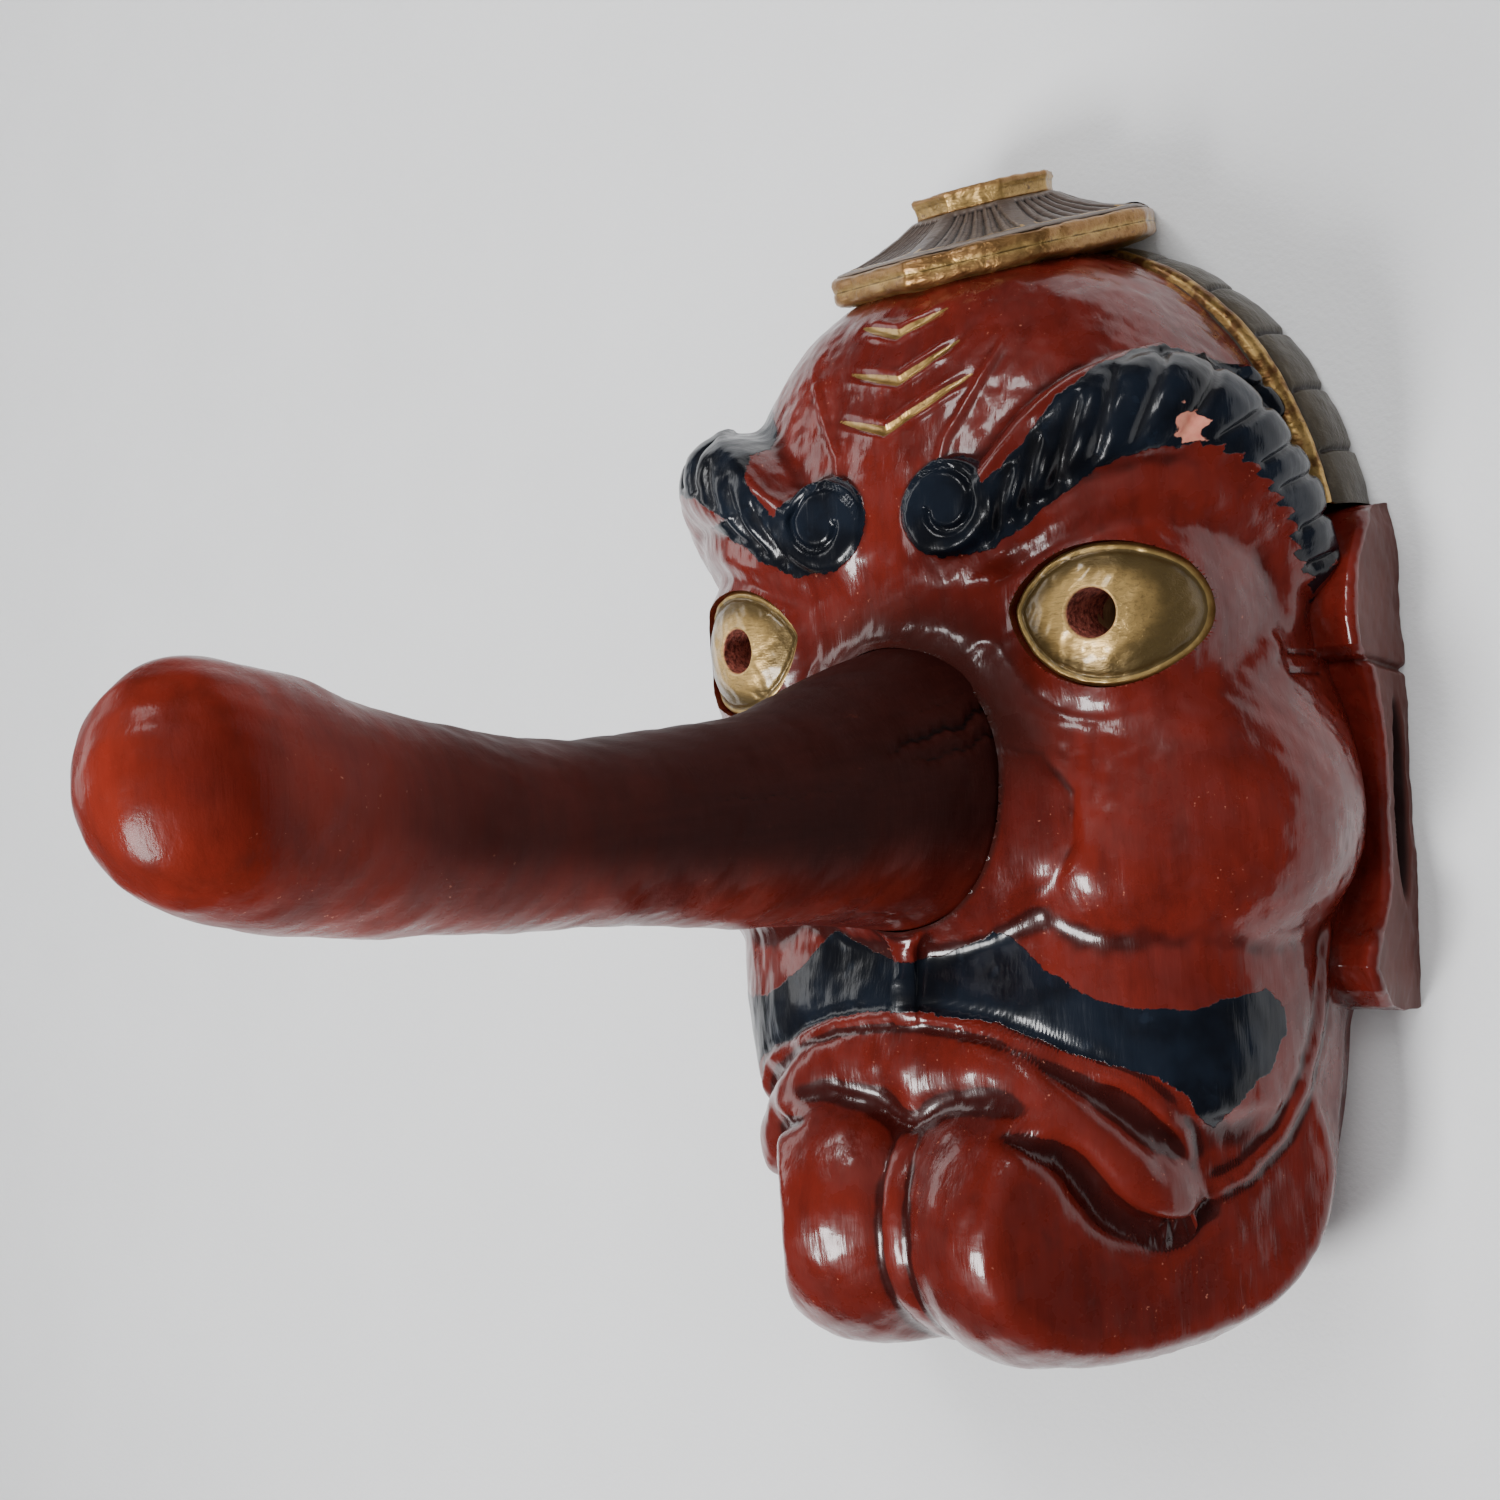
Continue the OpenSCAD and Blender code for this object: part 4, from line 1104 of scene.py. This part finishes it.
def cap_place(P):
    """Cap coordinates (across, wallward, up its axis) to face ones, cut off at the wall and the top."""
    u, v, w = P[..., 0], P[..., 1], P[..., 2]
    f = CAP_F - v * math.cos(CAP_LEAN) + w * math.sin(CAP_LEAN)
    z = CAP_Z + v * math.sin(CAP_LEAN) + w * math.cos(CAP_LEAN)
    return np.stack([u, np.maximum(f, 0), np.minimum(z, TOP_Z)], -1)


def octagon(a, corner=0.012):
    """Reach of a unit octagon with softened corners in the direction of angle a."""
    off = np.abs(np.mod(a, math.pi / 4) - math.pi / 8)
    return smin(math.cos(math.pi / 8) / np.cos(off), np.full(a.shape, 1 - corner), 2.5 * corner)


def eight_sided(name, profile, node, mat, seed, rough=0.3, extra=None):
    """A piece made of octagonal rings that follow a profile of (radius, height)."""
    n_round = 640
    a = around(n_round)[None, :]
    prof = np.asarray(profile, float)
    r, w = prof[:, :1], prof[:, 1:2]
    oct_r = r * octagon(a)
    L = joined(oct_r * np.cos(a), oct_r * np.sin(a), w + 0 * a)
    n = grid_normals(L, True)
    n *= np.sign((n * (L - [0, 0, w.mean()])).sum(-1, keepdims=True) + 1e-9)
    move = rough * lumps(L, 17, seed, 2) + 0.35 * rough * lumps(L, 4.5, seed + 1, 2)
    frame_line = np.zeros(L.shape[:2])
    if extra:
        more, frame_line = extra(a + 0 * r, r)
        move = move + more
    move[0] = move[-1] = 0
    L = L + n * move[..., None]
    cav = np.clip(hollowness(L, n, True, 4), -0.4, 0.4)
    ob = build(name, row(cap_place(L)), grid_faces(len(prof), n_round, True),
               {"cav": cav, "frame": frame_line})
    face_out(ob)
    return piece(ob, "mask", [node], mat)


def soft_profile(points, per=1.0):
    """Extra stations along a profile, about one to each step of that many mm."""
    out = []
    for (r0, w0), (r1, w1) in zip(points[:-1], points[1:]):
        k = max(int(math.hypot(r1 - r0, w1 - w0) / per), 1)
        out += [(r0 + (r1 - r0) * i / k, w0 + (w1 - w0) * i / k) for i in range(k)]
    return out + [points[-1]]


def pleats(a, r):
    """Five carved pleats in a sunk panel on each of the eight slopes, and gold lines round the panel."""
    off = np.mod(a, math.pi / 4) - math.pi / 8
    t = np.clip((r - 21) / (44 - 21), 0, 1) + 0 * a
    half = r * math.sin(math.pi / 8) * 0.99
    lateral = r * math.cos(math.pi / 8) * np.tan(off)
    inset = np.minimum(half - np.abs(lateral) - 2.1, np.minimum((0.9 - t) * 22, (t - 0.03) * 22))
    panel = step(0, 0.8, inset)
    phase = np.mod((lateral / (half - 2.1) + 1) * 2.75, 1)
    groove = np.exp(-((phase - 0.5) / 0.17) ** 2)
    slant = (phase - 0.5) * 0.35
    move = -panel * (0.35 + 1.15 * groove * (0.35 + 0.65 * t) - slant)
    lines = np.exp(-((inset + 0.35) / 0.42) ** 2) * (t > 0.0) * np.where(t > 0.8, 1.0, 0.35)
    return move, np.clip(lines, 0, 1) * step(0.0, 0.1, t)


def make_cap():
    """The gilded base, the pleated roof and the gilded knob of the cap."""
    gold = gold_material("cap_gilding")
    base = [(12, -1.5), (34, -1.5), (42.3, -0.6), (44.9, 0.0), (45.9, 0.7), (46.1, 1.5), (46.0, 3.0),
            (45.7, 3.5),
            (45.95, 4.1), (46.1, 5.6), (45.8, 6.6), (44.9, 7.2), (43.4, 7.4), (34, 7.3), (12, 7.3)]
    eight_sided("cap_rim", soft_profile(base, 0.8), "cap_base", gold, 41, 0.3)
    roof = [(10, 7.2), (43.4, 7.1), (44.4, 7.5), (44.1, 8.0), (38, 9.4), (32, 11.3), (26, 13.9),
            (21.0, 16.8),
            (19.9, 17.1), (10, 17.1)]
    eight_sided("cap_pleats", soft_profile(roof, 0.5), "cap_roof", roof_material(), 43,
                0.16, pleats)
    knob = [(8, 16.9), (18.6, 16.9), (19.3, 17.2), (19.1, 18.4), (19.3, 20.2), (19.9, 21.4), (20.0, 22.1),
            (19.4, 22.6), (16.5, 22.5), (13.5, 21.9), (8, 21.8), (0.5, 21.9)]
    eight_sided("cap_button", soft_profile(knob, 0.6), "cap_knob", gold, 45, 0.25)


# ------------------------------ head band
def make_band(side):
    """One half of the head band: a jointed strip with a gilded ridge in front."""
    rows = 420
    a0, a1 = math.radians(17), math.radians(76)
    a = np.linspace(a0, a1, rows)[:, None]
    inner = outline(a, 83.5, 108.5)
    outer = outline(a, 93.5, 112.5)
    section = np.array([(-0.2, 0.3), (0.5, 0.2), (0.93, 0.6), (1.0, 2.0), (1.0, 5), (0.97, 9),
                        (0.88, 12.4), (0.74, 14.2),
                        (0.62, 14.9), (0.55, 15.3), (0.56, 15.7), (0.64, 16.6), (0.68, 17.8),
                        (0.6, 19.2), (0.42, 19.9),
                        (0.2, 19.8), (-0.2, 19.2)])
    dense = catmull(section, 4)
    o, f = dense[None, :, 0], dense[None, :, 1]
    # carved joints across the strip and a slight swelling between them
    beat = np.mod((a - a0) / math.radians(9.8) + 0.35, 1)
    notch = np.exp(-((beat - 0.5) / 0.045) ** 2)
    swell = np.cos((beat) * 2 * math.pi) * 0.5
    strip = step(15.6, 13.5, f) * step(0.3, 0.8, o)
    r = inner + (outer - inner) * o + strip * (swell * 0.35 - 1.3 * notch - 0.25)
    r = np.minimum(r, outer + 0.2)
    G = joined(r * np.cos(a), f, WIDE_Z + r * np.sin(a))
    G += 0.22 * lumps(G, 13, 51, 3)[..., None] * np.stack([np.cos(a), 0 * a, np.sin(a)], -1)
    # stop at the ear and under the cap's rim
    G[..., 2] = np.maximum(G[..., 2], 52.2)
    n = grid_normals(G)
    n *= np.sign((n * np.stack([np.cos(a), 0.2 + 0 * a, np.sin(a)], -1)).sum(-1, keepdims=True) + 1e-9)
    ridge = step(15.2, 15.9, f) * step(0.12, 0.3, o) * np.ones_like(G[..., 0])
    # the carved joints are added to the hollows so that they take the painted shade too
    cav = np.clip(hollowness(G, n, rounds=3) + 0.25 * notch * strip, -0.4, 0.5)
    G[..., 0] *= side
    ob = build(f"band_{SIDE[side]}_strip", row(G), grid_faces(*G.shape[:2], flip=side > 0),
               {"frame": ridge, "cav": cav})
    face_out(ob)
    return piece(ob, "mask", [f"band_{SIDE[side]}"], BAND_MAT)


# ------------------------------ ears
EAR_EDGE = [(-73.2, 3), (-72.6, 12), (-70.5, 19), (-66, 24), (-60, 27), (-55, 26), (-51, 23),
            (-45, 18.5), (-37, 15.8),
            (-25, 15), (-12, 15.6), (-2, 16.6), (6, 18.4), (11.5, 20.5), (13.6, 21.2), (14.4, 24.5),
            (17, 27.4), (24, 28.8),
            (31, 27.2), (38, 24.2), (45, 19), (49.5, 14.5), (51.6, 9.5), (52.2, 3)]


def make_ear(side):
    """One ear: outer side, rounded edge and front, with flat ends; open where it meets the wall."""
    n_z, n_side, n_front = ((420, 90, 46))
    z = np.linspace(-73.2, 52.2, n_z)
    pts = np.asarray(EAR_EDGE, float)
    edge = np.interp(z, pts[:, 0], pts[:, 1])[:, None]
    z = z[:, None]
    seat, outer = 80.2, 96.0
    t = np.linspace(0, 1, n_side)[None, :]
    q = np.linspace(0, 1, n_front)[None, :]
    round_r = np.minimum(2.2, edge * 0.4)
    f1 = t * (edge - round_r)
    # outer face: flat, with a leaf-shaped hollow by the wall and a step at the notch
    leaf = np.sqrt(((f1 - 6.6) / 4.3) ** 2 + ((z + 21) / 26.5) ** 2) - 1
    dip = 3.8 * step(0.05, -0.4, leaf)
    notch = 1.6 * np.exp(-((z - 13.4 - 0.14 * (f1 - 20)) / 0.9) ** 2)
    x1 = outer - dip - notch - 0.5 * step(14, 60, np.abs(z - 20)) - 0.6 * np.exp(-((z + 60) / 5) ** 2)
    x1 = x1 - 1.2 * step(-62, -73, z) - 1.5 * step(45, 52.2, z)
    side_face = joined(x1, f1, z)
    arc = q * math.pi / 2
    f2 = edge - round_r + round_r * np.sin(arc)
    x2 = x1[:, -1:] - round_r + round_r * np.cos(arc)
    bend = joined(x2, f2, z)
    x3 = x2[:, -1:] + (seat - x2[:, -1:]) * q
    dish = 1.5 * np.sin(math.pi * q) * step(52, 42, z) * step(-73, -66, z)
    f3 = edge - dish - 0.5 * notch[:, -1:]
    front = joined(x3, f3, z)
    G = np.concatenate([side_face, bend[:, 1:], front[:, 1:]], 1)
    back = G[:, -1:].copy()
    back[..., 1] = 0
    G = np.concatenate([G, back], 1)
    n = grid_normals(G)
    ref = np.array([1.0, 0.6, 0.0])
    n *= np.sign((n * ref).sum(-1, keepdims=True) + 1e-9)
    G[:, :-1] += (0.3 * lumps(G, 15, 61, 2) + 0.1 * lumps(G, 5, 62, 2))[:, :-1, None] * n[:, :-1]
    G[..., 0] = np.clip(G[..., 0], 80.0, 96.3)
    G[..., 1] = np.maximum(G[..., 1], 0)
    cols = G.shape[1]
    pad = lambda v, fill: np.concatenate([v + 0 * z, np.full((n_z, cols - v.shape[1]), fill)], 1)
    leaf_mask = pad(step(0.1, -0.25, leaf), 0.0)
    side_mask = pad(np.ones((n_z, n_side)), 0.0)
    cav = np.clip(hollowness(G, n), -0.3, 0.3)
    cav[:, -2:] = 0
    G[..., 0] *= side
    F = grid_faces(*G.shape[:2])
    ends = [np.array([[k * cols + j for j in range(cols)]]) for k in (0, n_z - 1)]
    ob = build(f"ear_{SIDE[side]}_wood", row(G), [F] + ends,
               {"cav": cav, "leaf": leaf_mask, "side": side_mask})
    face_out(ob)
    return piece(ob, "mask", [f"ear_{SIDE[side]}"], EAR_MAT)


# ------------------------------ hollow back
def make_back(field):
    """Bare hollow, flat rim and hanger pocket, seen from the wall side."""
    nu, nv = ((260, 340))
    a, reach = disc_grid(nu, nv)
    mouth = 0.68
    t = even(3.5, np.clip(reach / mouth, 0, 1), 60, 100)
    s, c = np.sin(t) ** (2 / 3.5), np.cos(t) ** (2 / 3.5)
    inner = outline(a, 70, 60, 155, 2.25, 3.2)
    rim = boundary(lambda reach: field(reach * np.cos(a), np.zeros(a.shape),
                                       WIDE_Z + reach * np.sin(a)) < 0,
                   inner * 0.98, np.full(a.shape, 190.0), 34)
    out = (reach - mouth) / (1 - mouth)
    r = np.where(out > 0, inner + (rim - inner) * np.clip(out, 0, 1), s * inner)
    x, z = r * np.cos(a), WIDE_Z + r * np.sin(a)
    boss = 16 * np.minimum(1, 1.6 * hill(x, z, 0, -10, 34, 34))
    f = np.where(out > 0, 0.0, c * (60 - boss))
    f = f + 0.7 * lumps(np.stack([x, f, z], -1), 13, 71, 2) * step(0.5, 6, f)
    f = f + 1.6 * step(12.6, 11.6, np.hypot(x, z - NOSE_Z))
    pocket = np.minimum(17 - np.abs(x), np.minimum(z - 70, 119 - z))
    f = np.maximum(f, 9 * step(-0.35, 0.35, pocket))
    G = np.stack([x, f, z], -1)
    n = grid_normals(G)
    n *= np.sign((n[..., 1:2] * -1).sum() + 1e-9)
    cav = np.clip(hollowness(G, n, rounds=4), -0.4, 0.4)
    F = grid_faces(nu, nv)
    F, G = pierce(F, G.reshape(-1, 3), [(x, PUPIL[1], PUPIL_R, 0, 99) for x in (PUPIL[0], -PUPIL[0])])
    ob = build("hollow_back", row(G), F, {"cav": cav, "rimline": rim - r})
    aim(ob, -1)
    return piece(ob, "mask", ["face_shell"], back_material())


def pierce(F, P, holes):
    """Round holes from front to back: nearby points move onto each circle, quads inside it go."""
    for x, z, r, f0, f1 in holes:
        d = np.hypot(P[:, 0] - x, P[:, 2] - z)
        deep = (P[:, 1] >= f0) & (P[:, 1] <= f1)
        near = deep & (d > r * 0.86) & (d < r * 1.1)
        k = (r / np.maximum(d, 1e-6))[near]
        P[near, 0] = x + (P[near, 0] - x) * k
        P[near, 2] = z + (P[near, 2] - z) * k
        gone = deep & (np.hypot(P[:, 0] - x, P[:, 2] - z) < r * 1.001)
        F = F[~gone[F].all(1)]
    return F, P


def aim(ob, sign):
    """Turns the faces of an open sheet forward (1) or to the wall (-1)."""
    me = ob.data
    areas = np.zeros(len(me.polygons))
    normals = np.zeros(len(me.polygons) * 3)
    me.polygons.foreach_get("area", areas)
    me.polygons.foreach_get("normal", normals)
    if (normals.reshape(-1, 3)[:, 1] * areas).sum() * sign > 0:
        me.flip_normals()


def make_sight_tubes():
    """Walls of the sight holes behind the pupils."""
    r, f0, f1 = PUPIL_R - 0.02, 50, 64.5
    a = around(72)[None, :]
    f = np.linspace(f0, f1, 24)[:, None]
    rr = r + 0.12 * np.sin(3 * a + f * 0.8) * np.sin(math.pi * (f - f0) / (f1 - f0))
    for name, x in (("left", PUPIL[0]), ("right", -PUPIL[0])):
        G = joined(x + rr * np.cos(a), f, PUPIL[1] + rr * np.sin(a))
        ob = build(f"sight_hole_{name}", row(G), grid_faces(24, 72, True), {})
        piece(ob, "mask", [f"eye_{name}"], WOOD_MAT)


# ------------------------------ the pieces
LACQUER, EYE_MAT, BAND_MAT, EAR_MAT = lacquer_material(), eye_material(), band_material(), ear_material()
WOOD_MAT = plain_wood("bare_wood")


def make_front():
    """The carved front in three strips, with its openings and their walls. Returns its field."""
    G, normal, attrs, flip, field, within = make_face()
    F, P = grid_faces(*G.shape[:2], flip=flip), G.reshape(-1, 3)
    gone = within[F].all(1)
    make_opening_walls(P, F[~gone], F[gone], attrs)
    F = F[~gone]
    column = (F[:, 0] % G.shape[1]) * 3 // G.shape[1]
    for k, tag in enumerate("abc"):
        faces = F[column == k]
        used, again = np.unique(faces, return_inverse=True)
        ob = build(f"face_carving_{tag}", row(P[used]), again.reshape(faces.shape),
                   {key: v.ravel()[used] for key, v in attrs.items()},
                   normal.reshape(-1, 3)[used] * [1, -1, 1])
        piece(ob, "mask", ["face_shell"], LACQUER)
    return field


def make_opening_walls(P, kept, lost, attrs):
    """Strips that lead from the rims of the eye openings and of the nose seat into the wood."""
    rim = np.stack([kept, np.roll(kept, -1, 1)], -1).reshape(-1, 2)
    other = np.stack([np.roll(lost, -1, 1), lost], -1).reshape(-1, 2)
    rim = rim[np.isin(rim[:, 0] * len(P) + rim[:, 1], other[:, 0] * len(P) + other[:, 1])]
    seat = np.abs(seat_edge(P[rim[:, 0], 0], P[rim[:, 0], 2])) < 1.5
    left = P[rim[:, 0], 0] > 0
    for name, mine in (("nose_seat_wall", seat), ("eye_rim_left", left & ~seat),
                       ("eye_rim_right", ~left & ~seat)):
        used, edge = np.unique(rim[mine], return_inverse=True)
        edge = edge.reshape(-1, 2)
        top, n, levels = P[used], len(used), 8
        deep = (SEAT_F - top[:, 1]) if name == "nose_seat_wall" else np.full(n, -4.6)
        inward = np.stack([0 * deep, deep, 0 * deep], -1)
        V = np.concatenate([top + inward * (k / levels) for k in range(levels + 1)])
        F = np.concatenate([np.stack([edge[:, 1] + k * n, edge[:, 0] + k * n, edge[:, 0] + (k + 1) * n,
                                      edge[:, 1] + (k + 1) * n], -1) for k in range(levels)])
        ob = build(name, row(V), F, {key: np.tile(v.ravel()[used], levels + 1) for key,
                                     v in attrs.items()})
        piece(ob, "mask", ["face_shell"], LACQUER)
    # floor of the nose seat, from its rim to the hole for the tenon
    a = around(180)[None, :]
    t = np.linspace(0, 1, 28)[:, None]
    x = (TENON_R + 0.1) * np.cos(a) * (1 - t) + 32.6 * np.cos(a) * t
    z = NOSE_Z + (TENON_R + 0.1) * np.sin(a) * (1 - t) + 35.1 * np.sin(a) * t
    ob = build("nose_seat_floor", row(np.stack([x, SEAT_F + 0 * x, z], -1)), grid_faces(28, 180, True),
               {})
    aim(ob, 1)
    piece(ob, "mask", ["face_shell"], WOOD_MAT)


def make_socket():
    """Wall of the hole that takes the nose's dowel."""
    a = around(96)[None, :]
    f = np.linspace(44.2, 77.1, 40)[:, None]
    r = TENON_R + 0.12 + 0.03 * np.sin(f * 1.3 + 3 * a)
    G = joined(r * np.cos(a), f, NOSE_Z + r * np.sin(a))
    ob = build("nose_socket", row(G), grid_faces(40, 96, True), {})
    piece(ob, "mask", ["face_shell"], WOOD_MAT)


field = make_front()
make_back(field)
make_socket()
make_nose()
for side in (1, -1):
    make_eye(side, field)
    make_band(side)
    make_ear(side)
make_sight_tubes()
make_cap()

brass = metal_material("brass", (0.62, 0.42, 0.16), (0.2, 0.11, 0.04), 0.24)
steel = metal_material("steel", (0.5, 0.5, 0.5), (0.16, 0.13, 0.11), 0.3)
for name, mat in (("nose_tenon", WOOD_MAT), ("cap_peg", WOOD_MAT), ("ear_pegs", WOOD_MAT),
                  ("hanger_strap", brass),
                  ("hanger_ring", brass), ("hanger_screws", steel)):
    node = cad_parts[name]
    node.data.materials.clear()
    node.data.materials.append(mat)


# ------------------------------ wall and light
def wall_material():
    """Pale plaster that can be seen through from behind."""
    p = Paint("wall")
    fine = p.noise(1.6, 3.0, 0.6)
    broad = p.noise(60, 3.0, 0.5)
    colour = p.mix(broad, (0.7, 0.705, 0.715), (0.76, 0.765, 0.775))
    mat = p.done(Base_Color=colour, Roughness=0.9, Normal=p.bump(fine, 0.3))
    # one-sided: views from behind the wall look through it at the back of the mask
    tree = mat.node_tree
    out = next(n for n in tree.nodes if n.type == "OUTPUT_MATERIAL")
    solid = out.inputs["Surface"].links[0].from_socket
    geometry, clear, either = (tree.nodes.new(kind) for kind in
                               ("ShaderNodeNewGeometry", "ShaderNodeBsdfTransparent",
                                "ShaderNodeMixShader"))
    tree.links.new(geometry.outputs["Backfacing"], either.inputs[0])
    tree.links.new(solid, either.inputs[1])
    tree.links.new(clear.outputs[0], either.inputs[2])
    tree.links.new(either.outputs[0], out.inputs["Surface"])
    return mat


def make_wall():
    """The wall that the mask hangs on."""
    x, z = np.meshgrid(np.linspace(-2600, 2600, 80), np.linspace(-1800, 1800, 60), indexing="ij")
    G = np.stack([x, -0.4 + 0 * x, z], -1)
    ob = build("wall", row(G), grid_faces(80, 60), {})
    ob.data.materials.append(wall_material())
    ob.visible_shadow = False  # lets the light behind the wall reach the back of the mask


def area_light(name, spot, aim_at, size, power, colour=(1, 1, 1), glossy=True):
    """A light panel: place and aim in face coordinates, size in metres, power in watts."""
    data = bpy.data.lights.new(name, "AREA")
    data.shape, data.energy, data.color = "RECTANGLE", power, colour
    data.size, data.size_y = size
    ob = bpy.data.objects.new(name, data)
    bpy.context.collection.objects.link(ob)
    ob.visible_glossy = glossy
    a, b = row(spot), row(aim_at)
    ob.matrix_world = Matrix.Translation(a) @ Vector(b - a).to_track_quat("-Z", "Y").to_matrix().to_4x4()


make_wall()
area_light("key", (-260, 980, -470), (0, 60, -10), (0.34, 0.34), 14.5)
area_light("fill", (700, 1300, 100), (60, 30, 0), (1.6, 1.6), 11, glossy=False)
area_light("top", (100, 950, 750), (40, 0, 30), (0.9, 0.7), 9, glossy=False)
area_light("lamp", (-150, 900, 650), (0, 70, 60), (0.22, 0.22), 2.2)
area_light("window", (-1000, 500, 300), (0, 60, 0), (0.3, 0.8), 2.2)
area_light("behind", (300, -1100, 400), (0, 0, 0), (1.2, 1.2), 7, glossy=False)
world = bpy.data.worlds.new("room")
world.use_nodes = True
world.node_tree.nodes["Background"].inputs[0].default_value = (0.9, 0.93, 1.0, 1)
world.node_tree.nodes["Background"].inputs[1].default_value = 0.07
# past the wall's edges the camera sees a pale room, which gives no light
tree = world.node_tree
pale, path, either = (tree.nodes.new(kind) for kind in
                      ("ShaderNodeBackground", "ShaderNodeLightPath", "ShaderNodeMixShader"))
pale.inputs[0].default_value = (0.62, 0.63, 0.65, 1)
tree.links.new(path.outputs["Is Camera Ray"], either.inputs[0])
tree.links.new(tree.nodes["Background"].outputs[0], either.inputs[1])
tree.links.new(pale.outputs[0], either.inputs[2])
tree.links.new(either.outputs[0], tree.nodes["World Output"].inputs["Surface"])
bpy.context.scene.world = world
